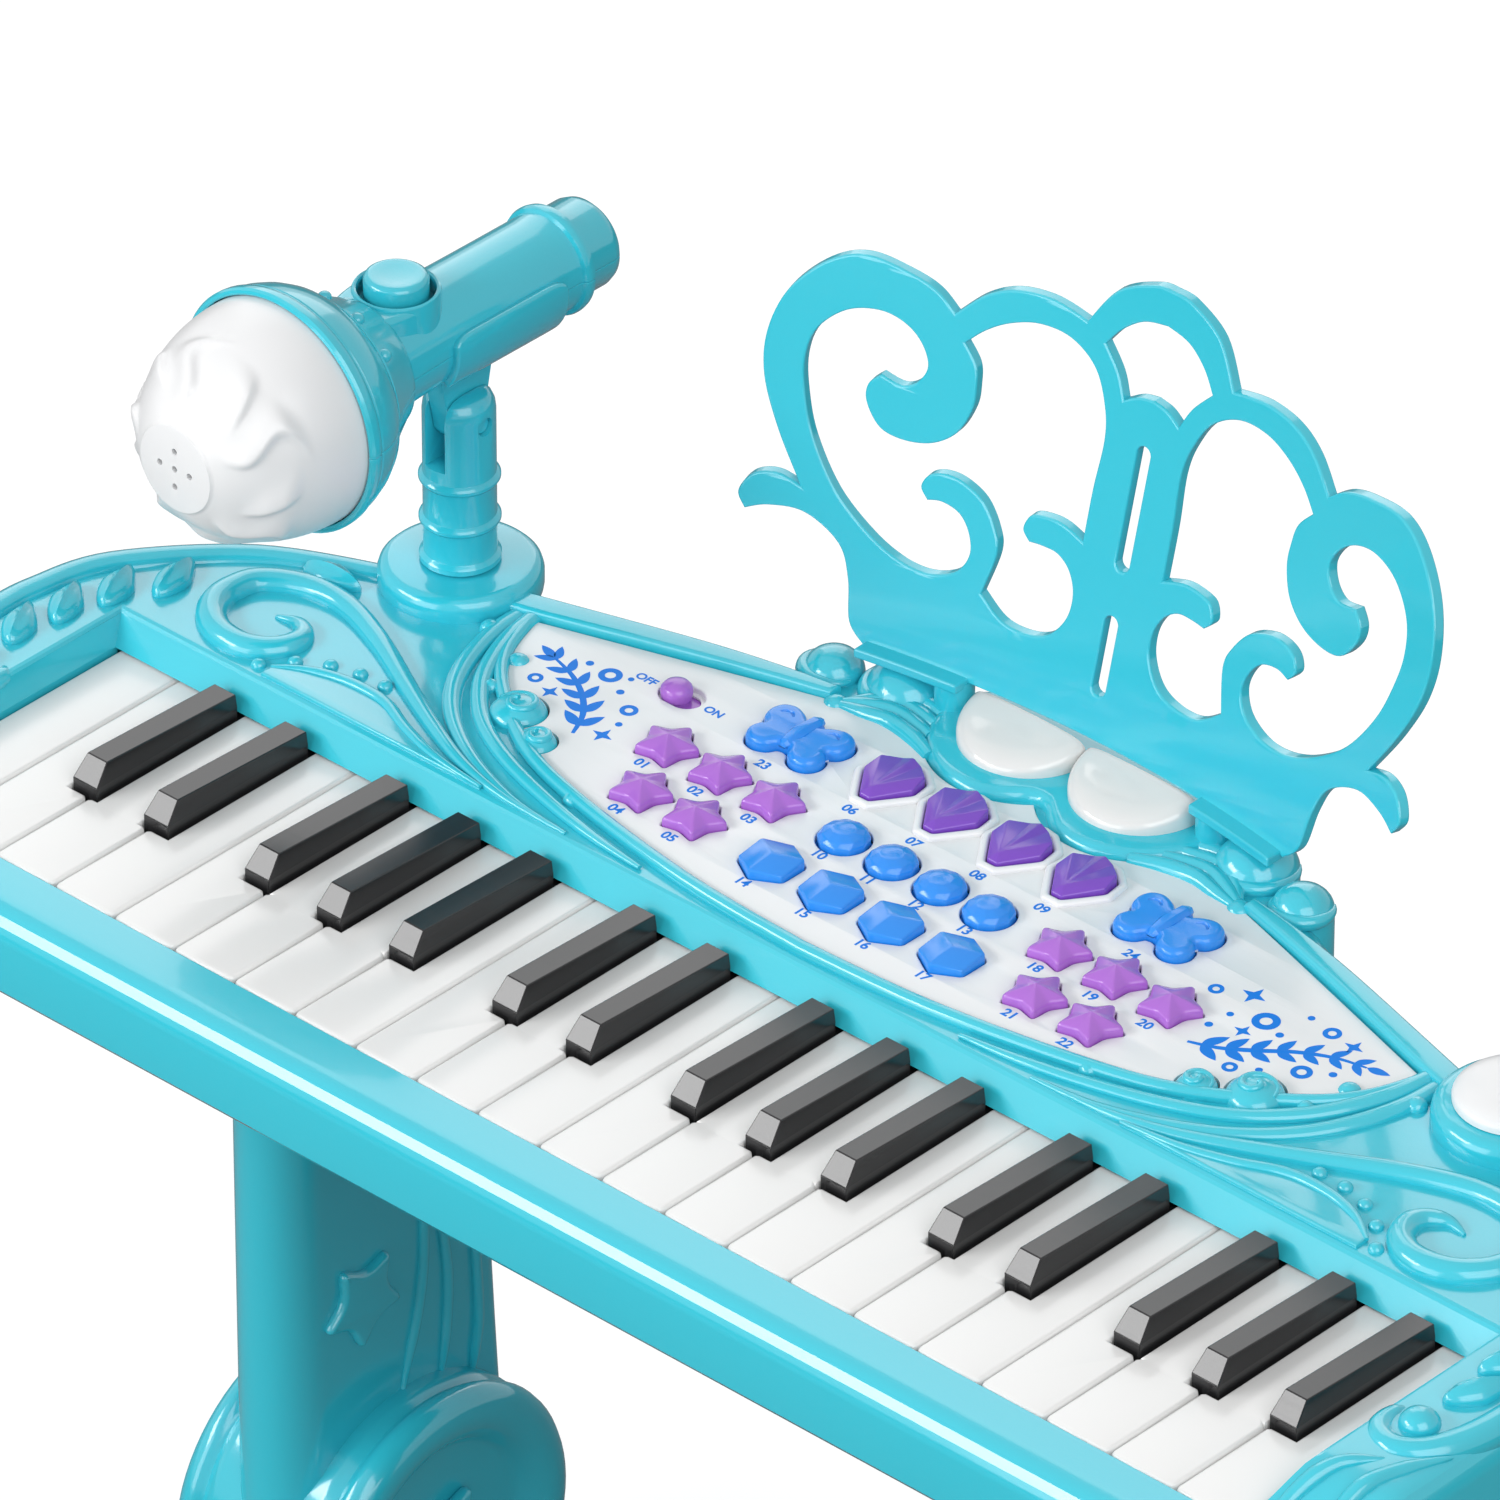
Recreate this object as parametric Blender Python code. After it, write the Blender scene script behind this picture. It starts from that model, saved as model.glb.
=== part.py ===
"""Toy electronic keyboard on moulded legs, with a swivelling microphone and a music rest.

Everything is drawn in keyboard coordinates: x runs along the keys from the middle of the
keyboard, y runs away from the player from the front ends of the white keys, and z runs up
from the tops of the white keys. One empty carries these coordinates to the floor frame.
"""
import math

import bmesh
import bpy
from mathutils import Matrix, Vector

for old in list(bpy.data.objects):
    bpy.data.objects.remove(old)

MM = 0.001

# Clearances between neighbouring pieces
SEAT_GAP = 0.3 * MM
KEY_SIDE_GAP = 0.6 * MM
BUTTON_GAP = 0.4 * MM

# Keys
KEY_PITCH = 17.0 * MM
KEY_GROUPS = (1, 3, 4, 3, 4, 3, 4)
WHITE_LENGTH = 70.0 * MM
WHITE_HEIGHT = 8.0 * MM
WHITE_SKIN = 2.0 * MM
WHITE_WALL = 1.5 * MM
WHITE_EDGE = 0.9 * MM
KEY_TAIL = 18.0 * MM
HINGE_FROM_END = 2.0 * MM
HINGE_DROP = 4.0 * MM
BLACK_FRONT = 28.5 * MM
BLACK_WIDTH = 7.0 * MM
BLACK_TOP_WIDTH = 5.6 * MM
BLACK_STEP = 2.2 * MM
BLACK_SLOPE = 3.8 * MM
BLACK_HEIGHT = 6.8 * MM
BLACK_BACK_HEIGHT = 5.2 * MM
BLACK_TAIL_DROP = 1.0 * MM
BLACK_SPREAD = 3.4 * MM

# Case
END_REACH = 26.0 * MM
RAIL_DEPTH = 16.2 * MM
CASE_BACK_REACH = 9.4 * MM
FIELD_TOP = 7.4 * MM
CASE_DROP = 18.0 * MM
CASE_WALL = 2.4 * MM
CASE_ROUND = 4.0 * MM
WELL_GAP = 0.4 * MM
WELL_LEAN = 4.6 * MM
WELL_SIDE_LEAN = 2.2 * MM
WELL_WALL_UNDER = 0.5 * MM
RAMP_LENGTH = 22.0 * MM
TRAY_DEPTH = 13.0 * MM
TRAY_LIP = 5.0 * MM
TRAY_TAPER = 16.0 * MM
RELIEF_ROOT = 1.4 * MM
RIM_RADIUS = 3.4 * MM
SCROLL_RADIUS = 2.7 * MM

# Turrets at the back corners
TURRET_X = 145.5 * MM
TURRET_Y = 131.2 * MM
TURRET_RADIUS = 17.6 * MM
TURRET_COLUMN = 14.6 * MM
TURRET_TOP = 12.7 * MM
TURRET_DISC = 7.4 * MM
LIGHT_RADIUS = 13.4 * MM
LIGHT_HEIGHT = 4.4 * MM

# Control panel and its buttons
PANEL_TIP_X = 121.5 * MM
PANEL_TIP_Y = 129.0 * MM
PANEL_FRONT = 79.6 * MM
PANEL_THICKNESS = 1.8 * MM
PANEL_SINK = 1.2 * MM
PANEL_LEDGE = 2.0 * MM
FRAME_RADIUS = 2.1 * MM
PANEL_KNOBS = ((100.8 * MM, 101.0 * MM, 5.2 * MM), (91.1 * MM, 95.0 * MM, 3.6 * MM))
CARRIER_THICKNESS = 1.6 * MM
CARRIER_SIDE = 5.0 * MM
BOARD_THICKNESS = 1.6 * MM
BOARD_DEPTH_BELOW_PANEL = 5.2 * MM
STAR_RADIUS = 6.4 * MM
STAR_WAIST = 4.2 * MM
STAR_HEIGHT = 2.9 * MM
STAR_SPACING = 14.9 * MM
STAR_GROUP_X = 54.3 * MM
STAR_BACK_ROW = 113.0 * MM
STAR_FRONT_ROW = 97.2 * MM
ROUND_RADIUS = 5.6 * MM
ROUND_HEIGHT = 2.9 * MM
ROUND_SPACING = 13.3 * MM
ROUND_ROW = 112.8 * MM
GEM_RADIUS = 7.0 * MM
GEM_HEIGHT = 3.0 * MM
GEM_SPACING = 16.5 * MM
GEM_ROW = 96.2 * MM
SHELL_LENGTH = 14.8 * MM
SHELL_WIDTH = 14.2 * MM
SHELL_HINGE = 3.6 * MM
SHELL_HEIGHT = 3.2 * MM
SHELL_SPACING = 17.6 * MM
SHELL_ROW = 133.2 * MM
BUTTERFLY_X = 50.7 * MM
BUTTERFLY_Y = 132.6 * MM
BUTTERFLY_SPAN = 9.6 * MM
BUTTERFLY_HEIGHT = 3.2 * MM
SWITCH_X = -81.9 * MM
SWITCH_Y = 129.2 * MM
SWITCH_RADIUS = 2.7 * MM
SWITCH_TRAVEL = 3.0 * MM
SWITCH_HEIGHT = 2.6 * MM

# Lamps in front of the music rest
LAMP_X = 15.4 * MM
LAMP_AHEAD = 2.0 * MM
LAMP_RADIUS = 15.6 * MM
LAMP_FRONT_HEIGHT = 2.8 * MM
LAMP_RISE = 3.2 * MM
CLOUD_MARGIN = 6.2 * MM
CLOUD_HEIGHT = 9.4 * MM

# Music rest
REST_BASE_Y = 166.6 * MM
REST_BASE_Z = 16.3 * MM
REST_LEAN = math.radians(14.2)
REST_THICKNESS = 2.6 * MM
REST_BEND_RADIUS = 293.0 * MM
REST_HEIGHT = 100.0 * MM
REST_HALF_WIDTH = 91.0 * MM
REST_SLOT = 3.6 * MM
LEDGE_REACH = 5.0 * MM
LEDGE_THICKNESS = 2.2 * MM
LEDGE_INNER = 32.0 * MM
LEDGE_OUTER = 57.0 * MM
POST_X = 36.0 * MM
POST_RADIUS = 4.3 * MM
POST_PLUG = 6.0 * MM

# Microphone
MIC_POST_RADIUS = 7.8 * MM
MIC_POST_HEIGHT = 41.8 * MM
MIC_RING_RADIUS = 8.7 * MM
MIC_RING_HEIGHT = 1.8 * MM
MIC_RINGS = (10.4 * MM, 20.6 * MM)
MIC_SPIGOT_RADIUS = 5.0 * MM
MIC_SPIGOT_LENGTH = 8.0 * MM
MIC_SLOT_WIDTH = 5.6 * MM
MIC_SLOT_DEPTH = 17.0 * MM
MIC_PIVOT_HEIGHT = 35.2 * MM
MIC_PIN_RADIUS = 1.8 * MM
MIC_AXIS_ABOVE_PIVOT = 25.3 * MM
MIC_TILT = math.radians(0.5)
MIC_TAIL_END = 40.0 * MM
MIC_TAIL_LENGTH = 11.0 * MM
MIC_TAIL_RADIUS = 10.2 * MM
MIC_FLANGE_RADIUS = 12.4 * MM
MIC_FLANGE_LENGTH = 3.4 * MM
MIC_HANDLE_RADIUS = 11.2 * MM
MIC_NECK = 24.0 * MM
MIC_RIM = 54.0 * MM
MIC_RIM_RADIUS = 27.4 * MM
MIC_HEAD_RADIUS = 25.6 * MM
MIC_HEAD_LENGTH = 30.0 * MM
MIC_DISC_RADIUS = 10.2 * MM
MIC_BUTTON_AT = 18.5 * MM
MIC_BUTTON_RADIUS = 6.9 * MM
MIC_BUTTON_TOP = 17.4 * MM
MIC_BUTTON_TRAVEL = 1.5 * MM
MIC_BUTTON_WELL = 5.2 * MM
MIC_COLLAR_WALL = 1.8 * MM
MIC_COLLAR_TOP = 14.4 * MM
MIC_TONGUE_EYE = 5.2 * MM

# Legs
KEY_TOP_HEIGHT = 238.0 * MM
LEG_X = 122.5 * MM
LEG_Y = 72.4 * MM
LEG_WIDTH = 21.4 * MM
LEG_DEPTH = 61.4 * MM
LEG_FLARE = 6.0 * MM
TENON_HEIGHT = 8.0 * MM
TENON_INSET = 3.0 * MM
BARREL_RADIUS = 38.0 * MM
BARREL_WIDTH = 48.4 * MM
BARREL_HEIGHT = 45.0 * MM
BARREL_BACK = 4.2 * MM
BARREL_RIM = 6.0 * MM
BARREL_RECESS = 5.0 * MM
BARREL_ROUND = 3.0 * MM
STAR_BOSS_RADIUS = 15.0 * MM
STAR_BOSS_HEIGHT = 2.2 * MM
STAR_BOSS_TURN = math.radians(32)
LEG_STAR_RADIUS = 12.0 * MM
LEG_STAR_HEIGHT = 1.1 * MM
LEG_STAR_Y = -9.0 * MM
LEG_STAR_DROP = 126.0 * MM
SOLE_LENGTH = 124.0 * MM
SOLE_WIDTH = 46.0 * MM
SOLE_HEIGHT = 13.0 * MM
SOLE_EDGE = 3.0 * MM

# Inside and underneath
SPEAKER_RADIUS = 28.0 * MM
SPEAKER_HEIGHT = 13.0 * MM
SPEAKER_X = -34.0 * MM
SPEAKER_Y = 120.0 * MM
GRILLE_SLOT = 2.6 * MM
GRILLE_PITCH = 7.0 * MM
GRILLE_SIDE = 2
BATTERY_X = 36.0 * MM
BATTERY_Y = 120.0 * MM
BATTERY_LENGTH = 58.0 * MM
BATTERY_WIDTH = 46.0 * MM
BATTERY_DEPTH = 15.5 * MM
COVER_LEDGE = 2.0 * MM
COVER_THICKNESS = 2.0 * MM
COVER_FIT = 0.4 * MM
KEY_RAIL_WIDTH = 6.0 * MM

# Sizes that follow from the ones above
CASE_BACK = REST_BASE_Y + CASE_BACK_REACH
LAMP_Y = REST_BASE_Y - LAMP_AHEAD
WHITE_COUNT = sum(KEY_GROUPS)
KEYS_HALF = WHITE_COUNT * KEY_PITCH / 2
CASE_END = KEYS_HALF + END_REACH
KEY_BACK = WHITE_LENGTH + KEY_TAIL
HINGE_Y = KEY_BACK - HINGE_FROM_END
WELL_BACK = WHITE_LENGTH + WELL_GAP
WELL_HALF = KEYS_HALF + WELL_GAP
PANEL_UNDER = FIELD_TOP - PANEL_SINK + SEAT_GAP
PANEL_TOP = PANEL_UNDER + PANEL_THICKNESS
CARRIER_TOP = PANEL_UNDER - SEAT_GAP
TRAY_TOP = -CASE_DROP - SEAT_GAP
TRAY_BOTTOM = TRAY_TOP - TRAY_DEPTH
TRAY_FLOOR = TRAY_BOTTOM + CASE_WALL
BOARD_TOP = PANEL_UNDER - BOARD_DEPTH_BELOW_PANEL
REST_REACH = REST_BASE_Y + REST_HEIGHT * math.sin(REST_LEAN) + REST_THICKNESS / 2
KEY_FRONT_Y = (RAIL_DEPTH - REST_REACH) / 2
POST_Y = REST_BASE_Y - LEDGE_REACH / 2
BOARD_HALF = STAR_GROUP_X + STAR_SPACING + 12 * MM
BOARD_FRONT = KEY_BACK + 2 * MM
BOARD_BACK = SHELL_ROW + SHELL_LENGTH / 2
MIC_PIVOT = Vector((-TURRET_X, TURRET_Y, TURRET_TOP + SEAT_GAP + MIC_PIVOT_HEIGHT))
MIC_TURN = (-MIC_TILT, 0.0, 0.0)

TEAL = (0.045, 0.50, 0.60)
COLOURS = {
    "teal": (TEAL, 0.32),
    "white": ((0.86, 0.87, 0.88), 0.3),
    "key_white": ((0.84, 0.84, 0.83), 0.28),
    "key_black": ((0.012, 0.012, 0.013), 0.25),
    "lilac": ((0.36, 0.12, 0.58), 0.3),
    "violet": ((0.20, 0.06, 0.45), 0.35),
    "blue": ((0.04, 0.27, 0.86), 0.28),
    "lamp": ((0.72, 0.74, 0.72), 0.2),
    "board": ((0.02, 0.16, 0.05), 0.5),
    "speaker": ((0.03, 0.03, 0.03), 0.6),
}


def material(name):
    """A plain moulded plastic of the named colour."""
    colour, roughness = COLOURS[name]
    made = bpy.data.materials.get(name) or bpy.data.materials.new(name)
    made.use_nodes = True
    shader = made.node_tree.nodes["Principled BSDF"]
    shader.inputs["Base Color"].default_value = (*colour, 1.0)
    shader.inputs["Roughness"].default_value = roughness
    shader.inputs["Metallic"].default_value = 0.0
    return made


datum = bpy.data.objects.new("keyboard_datum", None)
datum.location = (0.0, KEY_FRONT_Y, KEY_TOP_HEIGHT)
bpy.context.scene.collection.objects.link(datum)


def place(name, bm, finish=None, origin=(0.0, 0.0, 0.0), turn=(0.0, 0.0, 0.0)):
    """Turn a bmesh, drawn about its origin, into an object that hangs on the datum."""
    bmesh.ops.recalc_face_normals(bm, faces=bm.faces)
    mesh = bpy.data.meshes.new(name)
    bm.to_mesh(mesh)
    bm.free()
    made = bpy.data.objects.new(name, mesh)
    made.location = origin
    made.rotation_euler = turn
    made.parent = datum
    if finish:
        mesh.materials.append(material(finish))
        mesh.shade_smooth()
        mesh.set_sharp_from_angle(angle=math.radians(35))
    bpy.context.scene.collection.objects.link(made)
    return made


def combine(target, tools, operation):
    """Join tools to a piece, or cut it with them, and keep the tools as hidden guides."""
    group = bpy.data.collections.new(f"{target.name}_{operation.lower()}")
    for tool in tools:
        tool.hide_render = True
        tool.display_type = "WIRE"
        group.objects.link(tool)
    step = target.modifiers.new(group.name, "BOOLEAN")
    step.operation = operation
    step.solver = "EXACT"
    step.operand_type = "COLLECTION"
    step.collection = group


def smooth(knots, steps):
    """Points of a Catmull-Rom curve through open knots, both ends included."""
    ends = [knots[0], *knots, knots[-1]]
    points = []
    for a, b, c, d in zip(ends, ends[1:], ends[2:], ends[3:]):
        for step in range(steps):
            t = step / steps
            points.append(tuple(
                0.5 * (2 * q + (r - p) * t + (2 * p - 5 * q + 4 * r - s) * t * t
                       + (3 * q - p - 3 * r + s) * t ** 3)
                for p, q, r, s in zip(a, b, c, d)))
    points.append(tuple(knots[-1]))
    return points


def in_mm(*points):
    """Points given in millimetres."""
    return [(x * MM, y * MM) for x, y in points]


def curve_mm(*points):
    """A smooth curve through points given in millimetres."""
    return smooth(in_mm(*points), 2)


def chain(*stretches):
    """One path from curves that meet at sharp corners."""
    path = []
    for stretch in stretches:
        path.extend(stretch if not path else stretch[1:])
    return path


def mirrored(half):
    """A closed outline from its right half, drawn from the front to the back of the axis."""
    left = [(-x, y) for x, y in reversed(half) if abs(x) > 1e-6]
    return half + left


def inset(outline, distance):
    """The outline moved inwards by a distance, with mitred corners; it runs anticlockwise."""
    shifted = []
    for i, point in enumerate(outline):
        here = Vector(point)
        before = (here - Vector(outline[i - 1])).normalized()
        after = (Vector(outline[(i + 1) % len(outline)]) - here).normalized()
        middle = (before + after).normalized()
        inward = Vector((-middle.y, middle.x))
        mitre = max(0.5, inward.dot(Vector((-before.y, before.x))))
        shifted.append(tuple(here + inward * distance / mitre))
    return shifted


def loft(rings, capped=True):
    """A skin through rings of equal length, closed by its two end faces."""
    bm = bmesh.new()
    rows = [[bm.verts.new(point) for point in ring] for ring in rings]
    for low, high in zip(rows, rows[1:]):
        for i in range(len(low)):
            bm.faces.new((low[i - 1], low[i], high[i], high[i - 1]))
    if capped:
        bm.faces.new(rows[0])
        bm.faces.new(rows[-1])
    return bm


def level(outline, z):
    """The outline as a ring at one height."""
    return [(x, y, z) for x, y in outline]


def prism(outline, low, high, holes=()):
    """An upright plate with the given outline and holes."""
    bm = bmesh.new()
    edges = []
    for loop in (outline, *holes):
        verts = [bm.verts.new((x, y, low)) for x, y in loop]
        edges += [bm.edges.new((verts[i - 1], verts[i])) for i in range(len(verts))]
    bmesh.ops.triangle_fill(bm, use_beauty=True, use_dissolve=False, edges=edges)
    raised = bmesh.ops.extrude_face_region(bm, geom=list(bm.faces))
    lifted = [item for item in raised["geom"] if isinstance(item, bmesh.types.BMVert)]
    bmesh.ops.translate(bm, verts=lifted, vec=(0.0, 0.0, high - low))
    return bm


def turned(profile, segments):
    """A solid of revolution about z from (radius, z) points whose ends lie on the axis."""
    bm = bmesh.new()
    start = bm.verts.new((0.0, 0.0, profile[0][1]))
    end = bm.verts.new((0.0, 0.0, profile[-1][1]))
    rows = []
    for radius, z in profile[1:-1]:
        row = []
        for i in range(segments):
            angle = 2 * math.pi * i / segments
            row.append(bm.verts.new((radius * math.cos(angle), radius * math.sin(angle), z)))
        rows.append(row)
    for i in range(segments):
        bm.faces.new((start, rows[0][i - 1], rows[0][i]))
        bm.faces.new((end, rows[-1][i], rows[-1][i - 1]))
        for low, high in zip(rows, rows[1:]):
            bm.faces.new((low[i - 1], low[i], high[i], high[i - 1]))
    return bm


def cylinder(radius, low, high, segments):
    """An upright round bar."""
    return turned([(0.0, low), (radius, low), (radius, high), (0.0, high)], segments)


def bead(path, radius, taper=1.0):
    """A raised bead along a path, arched above and flat below; its width may taper to the far end."""
    points = [Vector(point) for point in path]
    upward = Vector((0.0, 0.0, 1.0))
    section = ((1.0, 0.0), (0.85, 0.5), (0.0, 1.0), (-0.85, 0.5), (-1.0, 0.0))
    rings = []
    for i, point in enumerate(points):
        along = (points[min(i + 1, len(points) - 1)] - points[max(i - 1, 0)]).normalized()
        across = along.cross(upward).normalized()
        size = radius * (1 + (taper - 1) * i / (len(points) - 1))
        root = [point - size * across - RELIEF_ROOT * upward, point + size * across - RELIEF_ROOT * upward]
        rings.append([point + size * (side * across + rise * upward) for side, rise in section] + root)
    return loft(rings)


def block(low, high):
    """A box between two corners."""
    outline = [(low[0], low[1]), (high[0], low[1]), (high[0], high[1]), (low[0], high[1])]
    return loft([level(outline, low[2]), level(outline, high[2])])


def across_x(profile, low, high):
    """A bar along x whose section is a (y, z) outline."""
    return loft([[(x, y, z) for y, z in profile] for x in (low, high)])


def ball(centre, radius, height, segments=8, rows=2):
    """A low dome with a short stem that roots it in the surface below."""
    profile = [(0.0, -RELIEF_ROOT), (radius, -RELIEF_ROOT)]
    for row in range(rows + 1):
        angle = math.pi / 2 * row / (rows + 0.6)
        profile.append((radius * math.cos(angle), height * math.sin(angle)))
    profile.append((0.0, height))
    bm = turned(profile, segments)
    bmesh.ops.translate(bm, verts=bm.verts, vec=centre)
    return bm


# Keys

def key_side(index):
    """Left edge of the white key with this number, counted from 0."""
    return -KEYS_HALF + index * KEY_PITCH


def black_places():
    """Separator number and middle of every black key, spread out within its group."""
    places = []
    first = 0
    for size in KEY_GROUPS:
        for step in range(1, size):
            shift = (step - size / 2) * BLACK_SPREAD
            places.append((first + step, key_side(first + step) + shift))
        first += size
    return places


BLACK_AT = dict(black_places())


def white_outline(index):
    """Plan of a white key: full width in front, notched beside its black neighbours."""
    left = key_side(index) + KEY_SIDE_GAP / 2
    right = key_side(index + 1) - KEY_SIDE_GAP / 2
    reach = BLACK_WIDTH / 2 + KEY_SIDE_GAP
    notch = BLACK_FRONT - KEY_SIDE_GAP
    outline = [(left, 0.0), (right, 0.0)]
    if index + 1 in BLACK_AT:
        inner = BLACK_AT[index + 1] - reach
        outline += [(right, notch), (inner, notch), (inner, KEY_BACK)]
    else:
        outline.append((right, KEY_BACK))
    if index in BLACK_AT:
        inner = BLACK_AT[index] + reach
        outline += [(inner, KEY_BACK), (inner, notch), (left, notch)]
    else:
        outline.append((left, KEY_BACK))
    return outline


def white_key(index):
    """A thin-walled key, open underneath, with rounded upper edges."""
    hinge = Vector((key_side(index) + KEY_PITCH / 2, HINGE_Y, -HINGE_DROP))
    outline = white_outline(index)
    bm = loft([level(outline, -WHITE_HEIGHT), level(outline, 0.0)])
    bm.faces.ensure_lookup_table()
    bmesh.ops.recalc_face_normals(bm, faces=bm.faces)
    under = min(bm.faces, key=lambda face: face.calc_center_median().z)
    top = max(bm.faces, key=lambda face: face.calc_center_median().z)
    rounded = list(top.edges)
    bmesh.ops.inset_region(bm, faces=[under], thickness=WHITE_WALL, use_even_offset=True)
    hollow = bmesh.ops.extrude_face_region(bm, geom=[under])
    raised = [item for item in hollow["geom"] if isinstance(item, bmesh.types.BMVert)]
    bmesh.ops.translate(bm, verts=raised, vec=(0.0, 0.0, WHITE_HEIGHT - WHITE_SKIN))
    bmesh.ops.delete(bm, geom=[under], context="FACES_ONLY")
    bmesh.ops.bevel(bm, geom=rounded, offset=WHITE_EDGE, segments=1, profile=0.5, affect="EDGES")
    bmesh.ops.translate(bm, verts=bm.verts, vec=-hinge)
    return place(f"white_key_{index + 1:02d}", bm, "key_white", hinge)


def black_key(number, middle):
    """A drafted key with a sloping front, on a low tail that runs back to the hinge."""
    hinge = Vector((middle, HINGE_Y, -HINGE_DROP))
    profile = [
        (BLACK_FRONT, -WHITE_HEIGHT), (BLACK_FRONT, BLACK_STEP),
        (BLACK_FRONT + BLACK_SLOPE, BLACK_HEIGHT), (WHITE_LENGTH, BLACK_BACK_HEIGHT),
        (WHITE_LENGTH, -BLACK_TAIL_DROP), (KEY_BACK, -BLACK_TAIL_DROP), (KEY_BACK, -WHITE_HEIGHT),
    ]
    bm = across_x(profile, -BLACK_WIDTH / 2, BLACK_WIDTH / 2)
    for vert in bm.verts:
        if vert.co.z > BLACK_STEP + SEAT_GAP:
            vert.co.x *= BLACK_TOP_WIDTH / BLACK_WIDTH
    bmesh.ops.translate(bm, verts=bm.verts, vec=Vector((middle, 0.0, 0.0)) - hinge)
    return place(f"black_key_{number:02d}", bm, "key_black", hinge)


for key in range(WHITE_COUNT):
    white_key(key)
for count, at in enumerate(BLACK_AT.values(), start=1):
    black_key(count, at)

# Case outline, panel outline and button outlines

def case_outline():
    """Plan of the case: straight front, full round ends, and a back that swells to the middle."""
    corner = Vector((KEYS_HALF, END_REACH - RAIL_DEPTH))
    front = [(0.0, -RAIL_DEPTH)]
    for step in range(5):
        angle = math.pi / 2 * (step / 4 - 1)
        front.append(tuple(corner + END_REACH * Vector((math.cos(angle), math.sin(angle)))))
    back = [
        (CASE_END, END_REACH - RAIL_DEPTH), (CASE_END, 40 * MM), (CASE_END - 1 * MM, 63 * MM),
        (CASE_END - 6 * MM, 88 * MM), (CASE_END - 27 * MM, 112 * MM), (TURRET_X, TURRET_Y - 3 * MM),
        (PANEL_TIP_X, PANEL_TIP_Y + 5 * MM), (92 * MM, CASE_BACK - 29 * MM), (68 * MM, CASE_BACK - 17 * MM),
        (50 * MM, CASE_BACK - 6 * MM), (28 * MM, CASE_BACK - 1 * MM), (0.0, CASE_BACK),
    ]
    return mirrored(chain(front, smooth(back, 2)))


def panel_outline():
    """Plan of the control panel: a lens with pointed tips and a scalloped back."""
    front = [
        (0.0, PANEL_FRONT), (32 * MM, PANEL_FRONT + 1.8 * MM), (66 * MM, PANEL_FRONT + 7.5 * MM),
        (89 * MM, PANEL_FRONT + 14.4 * MM), (108 * MM, PANEL_FRONT + 27 * MM),
        (117 * MM, PANEL_TIP_Y - 12 * MM), (PANEL_TIP_X, PANEL_TIP_Y),
    ]
    corner = LAMP_Y - 13.6 * MM
    back = [(PANEL_TIP_X, PANEL_TIP_Y), (60 * MM, corner - 3 * MM), (46 * MM, corner)]
    cloud = LAMP_RADIUS + CLOUD_MARGIN + BUTTON_GAP
    steps = 5
    low = math.asin((corner - LAMP_Y) / cloud)
    high = -math.acos(-LAMP_X / cloud)
    scallop = []
    for step in range(steps + 1):
        angle = low + (high - low) * step / steps
        scallop.append((LAMP_X + cloud * math.cos(angle), LAMP_Y + cloud * math.sin(angle)))
    scallop[-1] = (0.0, scallop[-1][1])
    return mirrored(chain(smooth(front, 2), smooth(back, 2)) + scallop)


def star_outline(radius, waist, points=5):
    """A star with one point away from the player."""
    outline = []
    for i in range(2 * points):
        angle = math.pi / 2 + math.pi * i / points
        reach = waist if i % 2 else radius
        outline.append((reach * math.cos(angle), reach * math.sin(angle)))
    return outline


def regular_outline(radius, sides, start):
    """A regular polygon with its first corner at the start angle."""
    angles = [start + 2 * math.pi * i / sides for i in range(sides)]
    return [(radius * math.cos(angle), radius * math.sin(angle)) for angle in angles]


def shell_outline(grow=0.0):
    """A scallop shell: a short hinge edge towards the player and a round fan behind."""
    half_length = SHELL_LENGTH / 2 + grow
    half_width = SHELL_WIDTH / 2 + grow
    half_hinge = SHELL_HINGE / 2 + grow / 2
    half = [
        (half_hinge, -half_length), (half_width, half_length * 0.16),
        (half_width * 0.88, half_length * 0.55), (half_width * 0.5, half_length * 0.9), (0.0, half_length),
    ]
    return half + [(-x, y) for x, y in reversed(half[:-1])]


def butterfly_outline(grow=0.0):
    """Two pairs of round wings about a slim body that lies along y."""
    span = BUTTERFLY_SPAN
    half = [
        (0.0, -0.80 * span), (0.14 * span, -0.74 * span), (0.24 * span, -0.54 * span),
        (0.52 * span, -0.84 * span), (0.90 * span, -0.72 * span), (span, -0.38 * span),
        (0.72 * span, -0.04 * span), (0.94 * span, 0.22 * span), (0.88 * span, 0.58 * span),
        (0.55 * span, 0.74 * span), (0.24 * span, 0.54 * span), (0.14 * span, 0.74 * span),
        (0.0, 0.80 * span),
    ]
    return inset(mirrored(half), -grow)


def moved(outline, x, y):
    """The outline shifted in the plan."""
    return [(px + x, py + y) for px, py in outline]


def row_places(spacing, row):
    """Four places in a row, even about the middle."""
    return [((i - 1.5) * spacing, row) for i in range(4)]


def star_places(side):
    """Three stars behind and two in front, about the middle of their group."""
    middle = side * STAR_GROUP_X
    behind = [(middle + i * STAR_SPACING, STAR_BACK_ROW) for i in (-1, 0, 1)]
    before = [(middle + i * STAR_SPACING, STAR_FRONT_ROW) for i in (-0.5, 0.5)]
    return behind + before


def switch_slot(grow):
    """A slot with round ends along x, long enough for the switch's travel."""
    radius = SWITCH_RADIUS + grow
    outline = []
    for centre, start in ((SWITCH_TRAVEL, -math.pi / 2), (0.0, math.pi / 2)):
        for i in range(6):
            angle = start + math.pi * i / 5
            outline.append((centre + radius * math.cos(angle), radius * math.sin(angle)))
    return outline


# Upper case

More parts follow.
